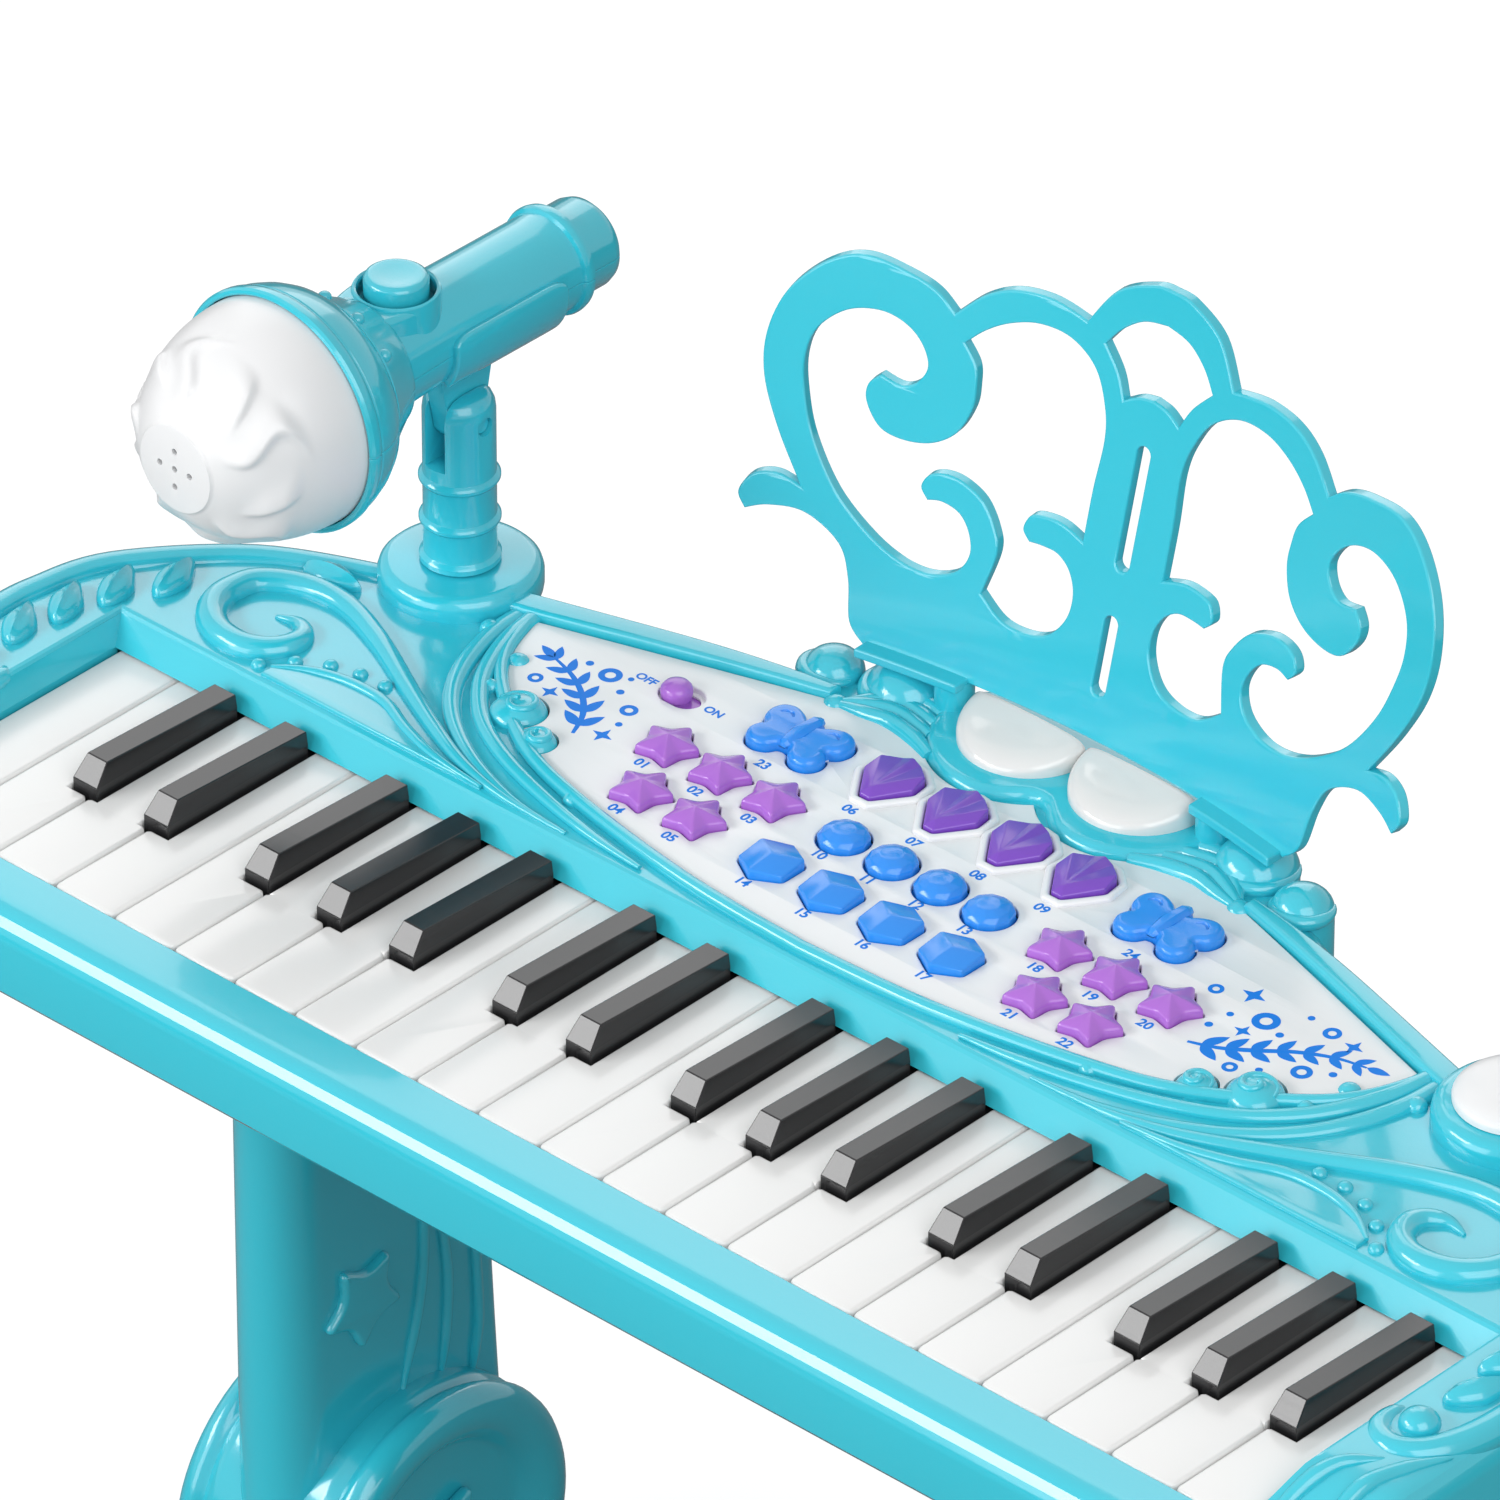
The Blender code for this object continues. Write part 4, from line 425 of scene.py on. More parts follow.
def inset(outline, distance):
    """The outline moved inwards, with mitred corners; it runs anticlockwise."""
    moved = []
    for i, point in enumerate(outline):
        here = Vector(point)
        before = (here - Vector(outline[i - 1])).normalized()
        after = (Vector(outline[(i + 1) % len(outline)]) - here).normalized()
        middle = (before + after).normalized()
        inward = Vector((-middle.y, middle.x))
        mitre = max(0.5, inward.dot(Vector((-before.y, before.x))))
        moved.append(tuple(here + inward * distance / mitre))
    return moved


def level(outline, z):
    """The outline as a ring at one height."""
    return [(x, y, z) for x, y in outline]


def block(low, high):
    """A box between two corners."""
    plan = oblong(low, high)
    return skinned("block", [level(plan, low[2]), level(plan, high[2])])


def carve(piece, tools):
    """Cut a piece with tools, and clear the tools away."""
    for tool in tools:
        step = piece.modifiers.new("carve", "BOOLEAN")
        step.object = tool
        step.operation = "DIFFERENCE"
        step.solver = "EXACT"
        only(piece)
        bpy.ops.object.modifier_apply(modifier=step.name)
        bpy.data.objects.remove(tool)
    return piece


tray_plan = case_plan(6)
tray_steps = ((16.0, TRAY_BOTTOM), (13.0, TRAY_BOTTOM + 0.7), (8.0, TRAY_BOTTOM + 5),
              (1.0, TRAY_TOP), (2.7, TRAY_TOP), (2.7, TRAY_TOP + 5), (5.1, TRAY_TOP + 5),
              (5.1, TRAY_TOP - 2), (16.0, TRAY_BOTTOM + 2.4))
tray = skinned("tray", [level(inset(tray_plan, side), z) for side, z in tray_steps])
tray_cuts = [plate("cell", [eased(oblong((9, 99), (63, 141)), 0.05)],
                   TRAY_BOTTOM - 1, TRAY_BOTTOM + 16, 0.0),
             plate("hatch", [[(6.6, 96.6), (26.6, 96.6), (26.6, 94.6), (45.4, 94.6), (45.4, 96.6),
                              (65.4, 96.6), (65.4, 143.4), (6.6, 143.4)]],
                   TRAY_BOTTOM - 1, TRAY_BOTTOM + 2.3, 0.0)]
for i in range(-2, 3):
    across = SLOT_STEP * i
    reach = math.sqrt(GRILLE_RADIUS ** 2 - across * across) - SLOT_STEP
    low, high = (GRILLE_AT - reach, 118.7 + across), (GRILLE_AT + reach, 121.3 + across)
    slot = eased(oblong(low, high), 0.03)
    tray_cuts.append(plate("grille_slot", [slot], TRAY_BOTTOM - 1, TRAY_BOTTOM + 4, 0.0))
for side in (-1, 1):
    x, y = side * LEG_AT[0], LEG_AT[1]
    tray_cuts.append(block((x - 8, y - 25, TRAY_BOTTOM - 1), (x + 8, y + 25, TRAY_BOTTOM + 8.6)))
    for x, y in ((186, 16), (186, 78), (74, 18), (84, 132)):
        hole = turned("screw_hole", [(0, -1), (3.4, -1), (3.2, 1.6), (0, 1.6)], 24)
        tray_cuts.append(shifted(hole, side * x, y, TRAY_BOTTOM))
    relief = turned("turret_relief", [(0, TRAY_TOP - 0.6), (14.9, TRAY_TOP - 0.6), (14.9, 0),
                                      (0, 0)], 48)
    tray_cuts.append(shifted(relief, side * TURRET_AT[0], TURRET_AT[1]))
carve(tray, tray_cuts)
hinge_rail = block((-187, 83, TRAY_BOTTOM + 1), (187, 89, -8.3))
settle(joined(tray, hinge_rail), "case_tray", teal, "keyboard", "lower_case", angle=30)

# Battery cover: a thin teal lid over the batteries, moulded in the plastic of the case. It snaps
# into the recess of the tray by its tab, and has five ribs for a thumb.
RIB_HEIGHT = TRAY_BOTTOM + 0.25
lid = plate("lid", [[(7, 97), (27, 97), (27, 95), (45, 95), (45, 97), (65, 97), (65, 143),
                     (7, 143)]],
            TRAY_BOTTOM, TRAY_BOTTOM + 2, 0.3)
ribs = []
for i in range(5):
    rib = [(x, 103 + 2.2 * i, RIB_HEIGHT) for x in (26 + i, 46 - i)]
    ribs.append(tube("lid_rib", rib, (0.5, 0.5), 2, 0.5))
settle(joined(lid, *ribs), "battery_lid", teal, "keyboard", "battery_cover")

# Circuit board and speaker: bought-in parts inside the case, kept as the CAD has them.
# The board is green lacquer over glass fibre, and the speaker has a black paper cone.
board_green = moulded("board_lacquer", "board", (0.012, 0.13, 0.035, 1), (0.03, 0.20, 0.06, 1),
                      0.4, 0.2)
cone_black = moulded("speaker_paper", "speaker", (0.02, 0.02, 0.021, 1), (0.05, 0.048, 0.045, 1),
                     0.75, 0.5)
bpy.data.objects["circuit_board"].material_slots[0].material = board_green
bpy.data.objects["speaker"].material_slots[0].material = cone_black

# White keys: 22 long caps of glossy white plastic, hinged on the rail behind the well.
# Their front corners and upper edges are rounded, and they are notched beside the black keys.
KEY_PITCH = 17.0
KEY_GROUPS = (1, 3, 4, 3, 4, 3, 4)
KEYS_HALF = KEY_PITCH * sum(KEY_GROUPS) / 2
KEY_BACK = 88.0
KEY_DEPTH = 8.0
SIDE_GAP = 0.6
NOTCH = 27.9
BLACK_HALF = 3.5
BLACK_SPREAD = 3.4
ivory = moulded("white_key_plastic", "key_white", (0.79, 0.79, 0.785, 1), (0.77, 0.77, 0.76, 1),
                0.2, 0.02, 0.03)
black_at = {}
first = 0
for size in KEY_GROUPS:
    for step in range(1, size):
        seam = first + step
        black_at[seam] = seam * KEY_PITCH - KEYS_HALF + (step - size / 2) * BLACK_SPREAD
    first += size
for key in range(sum(KEY_GROUPS)):
    left = key * KEY_PITCH - KEYS_HALF + SIDE_GAP / 2
    right = left + KEY_PITCH - SIDE_GAP
    outline = [(left, 1.3), (left + 0.4, 0.4), (left + 1.3, 0.0), (right - 1.3, 0.0),
               (right - 0.4, 0.4), (right, 1.3)]
    if key + 1 in black_at:
        inner = black_at[key + 1] - BLACK_HALF - SIDE_GAP
        outline += [(right, 27.1), (right - 0.8, NOTCH), (inner, NOTCH), (inner, KEY_BACK)]
    else:
        outline.append((right, KEY_BACK))
    if key in black_at:
        inner = black_at[key] + BLACK_HALF + SIDE_GAP
        outline += [(inner, KEY_BACK), (inner, NOTCH), (left + 0.8, NOTCH), (left, 27.1)]
    else:
        outline.append((left, KEY_BACK))
    cap = plate("white_cap", [outline], -KEY_DEPTH, 0.0, 0.8, 3)
    node = f"white_key_{key + 1:02d}"
    settle(cap, f"key_cap_white_{key + 1:02d}", ivory, node, node)

# Black keys: 15 narrow caps of glossy black plastic with drafted sides and a sloping front.
# One is modelled and copied; each rides on its own hinge.
ebony = moulded("black_key_plastic", "key_black", (0.010, 0.010, 0.011, 1),
                (0.012, 0.012, 0.013, 1), 0.16, 0.01, 0.0)
foot_plan = oblong((-BLACK_HALF, 28.5), (BLACK_HALF, 70))
black_top = [(-2.8, 32.3, 6.8), (2.8, 32.3, 6.8), (3.04, 70, 5.2), (-3.04, 70, 5.2)]
black_cap = skinned("black_cap", [level(foot_plan, -KEY_DEPTH), level(foot_plan, 2.2), black_top])
soften(black_cap, 0.2, 2, 20)
black_cap = joined(black_cap, block((-BLACK_HALF, 69, -KEY_DEPTH), (BLACK_HALF, KEY_BACK, -1)))
for number, middle in enumerate(black_at.values(), start=1):
    node = f"black_key_{number:02d}"
    settle(copied(black_cap, middle, 0), f"key_cap_black_{number:02d}", ebony, node, node, angle=8)
bpy.data.objects.remove(black_cap)

# Upper case: one large teal shell. A broad front rail runs into the raised field round the keys,
# the well's walls lean back from the keys, and the field is opened for the control panel.
CASE_DROP = 18.0
FIELD_TOP = 7.4
RAMP_END = 22.0
WELL_HALF, SIDE_LEAN = 187.4, 2.2
WELL_BACK, BACK_LEAN = 70.4, 4.6
LAMP_SIDE = 15.4
LAMP_AHEAD = 2
CLOUD_REACH = 22.2
EDGE_STEPS = ((0, 6.2), (0.25, 5.0), (0.6, 4.1), (1.1, 3.0), (2.43, 1.39), (3.2, 0.89), (4.2, 0.5),
              (5.4, 0.2), (7, 0))


def ramp(y):
    """Height of the case top near the front: a flat rail, then a soft rise to the field."""
    share = min(1.0, max(0.0, y / RAMP_END))
    return FIELD_TOP * share * share * (3 - 2 * share)


def panel_plan(steps):
    """Plan of the control panel: a lens with pointed tips and a scalloped back."""
    front = [(0.0, 79.6), (32, 81.4), (66, 87.1), (89, 94), (108, 106.6), (117, 117), (121.5, 129)]
    corner = REST_Y - 15.6
    back = [(121.5, 129), (60, corner - 3), (46, corner)]
    low = math.asin((corner - REST_Y + LAMP_AHEAD) / CLOUD_REACH)
    high = -math.acos(-LAMP_SIDE / CLOUD_REACH)
    scallop = []
    for step in range(1, 4 * steps + 1):
        angle = low + (high - low) * step / (4 * steps)
        scallop.append((LAMP_SIDE + CLOUD_REACH * math.cos(angle),
                        REST_Y - LAMP_AHEAD + CLOUD_REACH * math.sin(angle)))
    scallop[-1] = (0.0, scallop[-1][1])
    return mirrored(smooth(front, steps) + smooth(back, steps)[1:] + scallop)


plan = case_plan(10)[1:]
count = len(plan)
rows = [level(plan, -CASE_DROP)]
for side, drop in EDGE_STEPS:
    rows.append([(x, y, ramp(y) - drop) for x, y in inset(plan, side)])
faces = [tuple(reversed(range(count)))]
last = (len(rows) - 1) * count
for start in range(0, last, count):
    for i in range(count):
        after = (i + 1) % count
        faces.append((start + i, start + after, start + count + after, start + count + i))
for i in range(count // 2):
    strip = (i, i + 1, count - 2 - i, count - 1 - i)
    faces.append(tuple(dict.fromkeys(last + corner for corner in strip)))
shell = weld(meshed("shell", [point for row in rows for point in row], [], faces))
well = []
for lean, z in ((0.0, -CASE_DROP - 5), (0.0, 0.0), (1.0, FIELD_TOP), (1.0, FIELD_TOP + 9)):
    half, back = WELL_HALF + SIDE_LEAN * lean, WELL_BACK + BACK_LEAN * lean
    well.append(level(oblong((-half, -0.4), (half, back)), z))
opening = plate("opening", [inset(panel_plan(2)[::2], 2.5)], -CASE_DROP - 5, FIELD_TOP + 5, 0.0)
seat = plate("seat", [inset(panel_plan(6), -0.3)], FIELD_TOP - 1.2, FIELD_TOP + 5, 0.0)
socket = turned("socket", [(0, 4.4), (5.3, 4.4), (5.3, 18), (0, 18)], 32)
shifted(socket, -TURRET_AT[0], TURRET_AT[1])
carve(shell, [skinned("well", well), opening, seat, socket])
inner = inset(case_plan(4)[1:], 2.4)
cavity = skinned("cavity", [level(inner, -CASE_DROP - 5), level(inner, FIELD_TOP - 2.4)])
walls = [block((-220, -20, -6.4), (220, 22, 9)), block((-194.4, 69.4, 0.5), (194.4, 77.4, 9)),
         block((-188.4, -2.8, -12), (188.4, 0.4, 9)),
         block((187.6, -2.8, -8), (192, 71.4, 9)), block((-192, -2.8, -8), (-187.6, 71.4, 9))]
carve(shell, [carve(cavity, walls)])
only(shell)
bpy.ops.object.mode_set(mode="EDIT")
bpy.ops.mesh.select_all(action="DESELECT")
work = bmesh.from_edit_mesh(shell.data)
for edge in work.edges:
    middle = (edge.verts[0].co + edge.verts[1].co) / 2 / MM
    on_side = abs(abs(middle.x) - WELL_HALF - SIDE_LEAN) < 0.05
    on_back = abs(middle.y - WELL_BACK - BACK_LEAN) < 0.05
    edge.select = (on_side or on_back) and middle.z > FIELD_TOP - 0.1
bmesh.update_edit_mesh(shell.data)
bpy.ops.mesh.bevel(offset=0.9 * MM, segments=2, profile=0.5, affect="EDGES", clamp_overlap=False)
bpy.ops.object.mode_set(mode="OBJECT")
settle(shell, "case_top", teal, "keyboard", "upper_case", angle=13)

# Turrets, lamp cloud and scroll work: teal relief moulded in one with the case top. A rim with a
# curled front end, leaves, a large volute, strands round the panel, spiral knobs and shell bosses.
TURRET_TOP = 12.7
KNOBS = ((101.4, 102.0, 6.3, 3.6), (90.8, 96.2, 4.5, 2.9))
PANEL_TIP = 127.5
LEAF_SIZE = (15.2, 7.6, 2.9)
relief = []


def flat_ball(x, y, z, radius, height, steps=24, root=1.5):
    """A low round boss rooted in the field."""
    rows = [(radius * math.cos(a), height * math.sin(a))
            for a in (math.pi / 2 * i / 8 for i in range(9))]
    line = [(0, -root), (radius, -root), *rows[:-1], (0, height)]
    return shifted(turned("boss", line, steps), x, y, z)


def leaf(x, y, z, turn, length, width, height):
    """A pointed leaf with a crease along its back."""
    bpy.ops.object.select_all(action="DESELECT")
    bpy.ops.mesh.primitive_uv_sphere_add(segments=24, ring_count=16, radius=MM)
    piece = bpy.context.object
    for vert in piece.data.vertices:
        along = vert.co.y / MM
        pinch = 1.0 - 0.55 * max(0.0, along) - 0.15 * max(0.0, -along)
        crease = 1.0 + 0.25 * max(0.0, 1 - abs(vert.co.x / MM) * 4)
        vert.co = Vector((vert.co.x * pinch * width / 2, vert.co.y * length / 2,
                          vert.co.z * crease * height))
    put(piece, Matrix.Rotation(turn, 4, "Z"))
    return shifted(piece, x, y, z)


def strand(side, plan, z, widths, flat=0.8):
    """A moulded strand along a smooth line of the case top, on one side of the middle."""
    path = [(side * x, y, z) for x, y in smooth(plan, 8)]
    relief.append(tube("strand", path, widths, 5, flat))


turret_line = [(0, -CASE_DROP), (14.6, -CASE_DROP), (14.6, 3.2), (15.2, 4.3), (16.6, 4.9),
               (17.4, 5.8), (17.6, 7.0), (17.6, 9.9), (17.2, 11.3), (16.2, 12.3),
               (14.8, TURRET_TOP), (0, TURRET_TOP)]
socket_line = turret_line[:-1] + [(5.3, TURRET_TOP), (5.3, 4.5), (0, 4.5)]
for side in (-1, 1):
    drum = turned("turret", turret_line if side > 0 else socket_line, 72)
    relief.append(shifted(drum, side * TURRET_AT[0], TURRET_AT[1]))
    strand(side, [(193.6, 44.6), (191.4, 41.4), (191.6, 36.8), (194.6, 33.2), (199.6, 32.4),
                  (204.6, 36.4), (207.8, 45), (208.8, 56), (208.2, 68), (203, 86), (183, 108.5),
                  (157.5, 122)],
           5.8, (0.8, 2.2, 2.7, 3.0, 3.3, 3.5, 3.7, 3.8, 3.8, 3.8, 3.6, 3.2), 1.0)
    relief.append(flat_ball(side * 198.0, 40.6, FIELD_TOP, 4.3, 3.4, 32))
    for wave in ([(191.6, 1), (191.9, 10.9), (194.7, 20.3), (200.6, 27.9)],
                 [(199.6, -6), (202.2, 6), (202.8, 18), (205.6, 28), (209.6, 37)]):
        path = [(side * x, y, ramp(y) - 0.4) for x, y in smooth(wave, 8)]
        relief.append(tube("wave", path, (0.3, 1.8, 2.2, 1.8, 0.3), 4))
    for x, y, turn in ((200.2, 55.6, 26), (198.6, 67.8, 25), (195.2, 79.4, 19), (188.6, 89.8, 12),
                       (164.6, 112.4, -84)):
        way = -side * math.radians(turn)
        relief.append(leaf(side * x, y, FIELD_TOP + 0.4, way, *LEAF_SIZE))
    strand(side, [(163.4, 94.2), (158.4, 95.2), (154.2, 92.8), (153.2, 88.4), (155.8, 83.8),
                  (160.8, 81.2), (166.8, 81.4), (172.2, 84), (176, 88.8), (177, 94.4),
                  (174.8, 101.3), (166, 106.5), (154.7, 106.7), (140.5, 101.5), (125, 93.5),
                  (110, 86.0), (97, 80.6), (84, 77.6), (70, 76.6)],
           FIELD_TOP + 0.2,
           (0.4, 2.1, 2.9, 3.2, 3.4, 3.5, 3.5, 3.4, 3.1, 2.7, 2.3, 1.8, 1.2, 0.4), 0.95)
    pad = [(150.6, 79.4), (144.6, 83.4), (137.7, 85.7), (130, 86.4), (122.9, 85.5), (113.7, 81.6),
           (102, 78.2), (88, 76.6)]
    pad_plan = smooth(pad, 6) + [(88, 76.3), (150.6, 76.3)]
    relief.append(plate("leaf_pad", [[(side * x, y) for x, y in pad_plan]], FIELD_TOP - 1,
                        FIELD_TOP + 0.9, 0.6))
    strand(side, pad, FIELD_TOP + 0.7, (0.5, 1.2, 1.4, 1.4, 1.2, 0.5))
    for x, y in ((153.6, 78.8), (148.6, 84.6), (142.2, 88.6), (135.4, 90.4), (128.5, 90.6)):
        relief.append(flat_ball(side * x, y, FIELD_TOP, 1.7, 1.5, 16))
    strand(side, [(126.6, 130.5), (125.8, 119.8), (122.4, 108.5), (116.7, 98.5), (108, 90),
                  (96, 83), (80, 77.8), (64, 76.6)],
           FIELD_TOP + 0.1, (2.3, 2.3, 2.2, 2.0, 1.7, 1.2, 0.5))
    strand(side, [(123.4, 130.8), (121.6, 120.4), (117.3, 109.6), (111.8, 101.5), (103, 93.6),
                  (90, 87.2), (73.5, 82.2), (58, 79), (44, 77.4)],
           FIELD_TOP + 0.5, (2.2, 2.2, 2.1, 1.9, 1.7, 1.4, 0.6))
    for x, y, radius, height in KNOBS:
        relief.append(flat_ball(side * x, y, FIELD_TOP, radius, height, 32))
        curl = [(side * (x + radius * (0.78 - 0.055 * i) * math.cos(0.62 * i)),
                 y + radius * (0.78 - 0.055 * i) * math.sin(0.62 * i),
                 FIELD_TOP + height * (0.62 + 0.035 * i)) for i in range(13)]
        relief.append(tube("curl", smooth(curl, 3), (0.3, 0.9, 0.9, 0.8, 0.6), 4))
    for x, y, radius in ((70.9, 86.4, 2.4), (112.0, 105.2, 2.0), (114.4, 115.8, 2.6),
                         (127.5, 121.2, 2.4), (55.6, 149.2, 2.8)):
        relief.append(flat_ball(side * x, y, FIELD_TOP, radius, 2.2, 20))
    bar = smooth([(134, 126.6), (121, 129.9), (90, 139.7), (72, 145.0), (57, 149.0)], 8)
    bar += smooth([(57, 152.4), (72, 149.8), (90, 145.6), (122, 136.2), (136, 132)], 8)
    relief.append(plate("back_bar", [[(side * x, y) for x, y in bar]], FIELD_TOP - 3, 10.3, 1.1, 3))
    for plan in ([(55, 148.8), (48.6, 149.8), (42.2, 151.0), (34.5, 149.8), (27.4, 147.1)],
                 [(55, 149.6), (49.6, 152.2), (42.6, 154.4), (32.3, 152.6)],
                 [(54, 151), (49, 155), (43, 157.6), (34, 156.4)],
                 [(52, 153), (47, 158.4), (41, 161), (35, 160)]):
        strand(side, plan, FIELD_TOP + 0.5, (1.0, 1.9, 2.3, 2.2, 1.6), 1.1)
    for x, y, radius in ((48.2, 163.0, 9.0), (64.6, 158.5, 6.6)):
        relief.append(flat_ball(side * x, y, FIELD_TOP, radius, radius * 0.82, 40,
                                FIELD_TOP + CASE_DROP))
        lip = [(side * (x + radius * 0.97 * math.cos(a)), y + radius * 0.97 * math.sin(a),
                FIELD_TOP + 0.8)
               for a in (math.radians(-165 + 11 * i) for i in range(20))]
        relief.append(tube("shell_lip", lip, (0.4, 1.5, 1.8, 1.5, 0.4), 4))

edge = inset(panel_plan(6), -1.5)
front = [(x, y, FIELD_TOP + 0.7) for x, y in edge if y < PANEL_TIP]
front.sort(key=lambda point: point[0])
relief.append(tube("panel_lip", front, (1.5, 1.7, 1.8, 1.7, 1.5), 5))

cloud = smooth([(0.0, 149.7), (2.4, 149.0), (6, 146.1), (10, 143.7), (15.4, 142.8), (22, 143.9),
                (28, 146.8), (33, 151.6), (36.4, 157.8), (37.3, 164.6), (36.2, 170.4), (31, 174),
                (15, CASE_BACK - 1.2), (0.0, CASE_BACK - 1.2)], 5)
relief.append(plate("cloud", [mirrored(cloud)], FIELD_TOP - 4, 10.0, 2.6, 6))
relief.append(plate("cloud_web", [oblong((-7, 147.4), (7, 156))], FIELD_TOP - 3, FIELD_TOP - 0.6,
                    0.3))
base = smooth([(0.0, 155), (28, 153), (44, 157), (44, 167), (30, CASE_BACK - 6),
               (0.0, CASE_BACK - 4)], 8)
relief.append(plate("rest_base", [mirrored(base)], FIELD_TOP - 4, 8.8, 1.4, 3))
settle(joined(*relief), "scroll_relief", teal, "keyboard", angle=50)

# Control panel: a glossy white plate, pressed into its seat in the case top, with a hole for every
# button, raised lips round the shell buttons and a slot for the power switch.
PANEL_TOP = 8.3
STAR_MIDDLE = 54.3
STAR_STEP = 14.9
panel_white = moulded("panel_white", "white", (0.79, 0.795, 0.80, 1), (0.775, 0.78, 0.79, 1),
                      0.3, 0.02, 0.02)


def ring_plan(radius, sides, start=0.0):
    """A regular polygon with its first corner at the start angle."""
    angles = [start + 2 * math.pi * i / sides for i in range(sides)]
    return [(radius * math.cos(a), radius * math.sin(a)) for a in angles]


def shell_plan(grow=0.0):
    """A fan: a short edge towards the player, and sides that open to five back corners."""
    half = [(1.4, -7.2), (6.7, 0.2), (6.1, 4.6), (2.4, 7.6)]
    return inset(half + [(0.0, 8.0)] + [(-x, y) for x, y in reversed(half)], -grow)


def butterfly_plan(grow=0.0):
    """Two large back wings and two small front wings about a slim body."""
    half = smooth([(0.0, -4.4), (1.6, -4.9), (3.0, -6.9), (5.6, -7.9), (8.4, -7.1), (9.8, -4.7),
                   (9.3, -2.1), (8.5, -0.9), (10.4, 0.8), (11.1, 3.6), (10.0, 6.4), (7.2, 7.6),
                   (4.2, 6.7), (2.0, 5.2), (1.4, 6.4), (0.0, 7.0)], 4)
    return inset(mirrored(half), -grow)


def at(plan, x, y):
    """A plan moved to its place."""
    return [(px + x, py + y) for px, py in plan]


def in_row(spacing, y):
    """Four places in a row about the middle."""
    return [((i - 1.5) * spacing, y) for i in range(4)]


ROUNDS = in_row(13.3, 112.8)
GEMS = in_row(16.5, 96.2)
SHELLS = in_row(17.6, 133.2)
BUTTERFLIES = [(-50.7, 132.6), (50.7, 132.6)]
SWITCH = (-81.9, 129.2)
STARS = {side: [(side * STAR_MIDDLE + i * STAR_STEP, 113.0) for i in (-1, 0, 1)]
         + [(side * STAR_MIDDLE + i * STAR_STEP, 97.2) for i in (-0.5, 0.5)] for side in (-1, 1)}
holes = [at(eased(star_plan(7.8, 5.1), 0.22), x, y) for side in (-1, 1) for x, y in STARS[side]]
holes += [at(ring_plan(6.0, 40), x, y) for x, y in ROUNDS]
holes += [at(eased(ring_plan(7.4, 6, math.pi / 6), 0.12), x, y) for x, y in GEMS]
holes += [at(shell_plan(0.3), x, y) for x, y in SHELLS]
holes += [at(butterfly_plan(0.4), x, y) for x, y in BUTTERFLIES]


def slot_plan(radius):
    """A slot with round ends, as long as the switch slides."""
    return [(SWITCH[0] + radius * math.cos(a) + (3 if math.cos(a) > 0 else 0),
             SWITCH[1] + radius * math.sin(a))
            for a in (math.pi / 2 * (i + 0.5) / 8 for i in range(32))]


panel = plate("panel", [panel_plan(8), *holes, slot_plan(3.9)], PANEL_TOP - 1.8, PANEL_TOP, 0.3, 2)
for side in (-1, 1):
    for x, y, radius, _ in KNOBS:
        room = radius + 0.3
        notch = turned("notch", [(0, 0), (room, 0), (room, 20), (0, 20)], 40)
        carve(panel, [shifted(notch, side * x, y)])
lips = [plate("shell_lip", [at(eased(shell_plan(2.2), 0.12), x, y),
                            at(eased(shell_plan(0.3), 0.12), x, y)],
              PANEL_TOP - 0.6, PANEL_TOP + 1.1, 0.8, 3) for x, y in SHELLS]
lips.append(plate("slot_floor", [slot_plan(4.4), slot_plan(2.9)], PANEL_TOP - 1.75,
                  PANEL_TOP - 1.25, 0.0))
settle(joined(panel, *lips), "panel_plate", panel_white, "keyboard", "control_panel", angle=30)

# Panel print: one thin coat of blue ink on the white plate. Leaf sprigs, rings, dots and sparks
# fill the ends, every button has a number, and the switch is marked.
ink = moulded("blue_ink", "blue", (0.001, 0.185, 0.72, 1), (0.002, 0.21, 0.76, 1), 0.5, 0.02, 0.02)
ink.node_tree.nodes["Principled BSDF"].inputs["Specular IOR Level"].default_value = 0.2
INK = (PANEL_TOP - 0.02, PANEL_TOP + 0.05)
marks = []


def stamp(*outlines):
    """One mark of ink, an outline with holes."""
    marks.append(plate("mark", outlines, *INK, 0.0))


def leaf_mark(x, y, turn, length):
    """A pointed leaf that grows from its place."""
    half = [(0.0, 0.0), (0.16, 0.22), (0.2, 0.45), (0.13, 0.75), (0.0, 1.0)]
    way = Matrix.Rotation(turn, 2)
    outline = mirrored(smooth(half, 4))
    stamp([tuple(Vector((x, y)) + way @ Vector((px * length, py * length))) for px, py in outline])


def lettered(text, x, y, size):
    """Plain print, read from the player's side."""
    bpy.ops.object.select_all(action="DESELECT")
    bpy.ops.object.text_add()
    words = bpy.context.object
    words.data.body = text
    words.data.size = size * MM
    words.data.align_x = "CENTER"
    words.data.align_y = "CENTER"
    words.data.extrude = 0.035 * MM
    words.data.offset = 0.09 * MM
    marks.append(shifted(as_mesh(words), x, y, PANEL_TOP + 0.015))


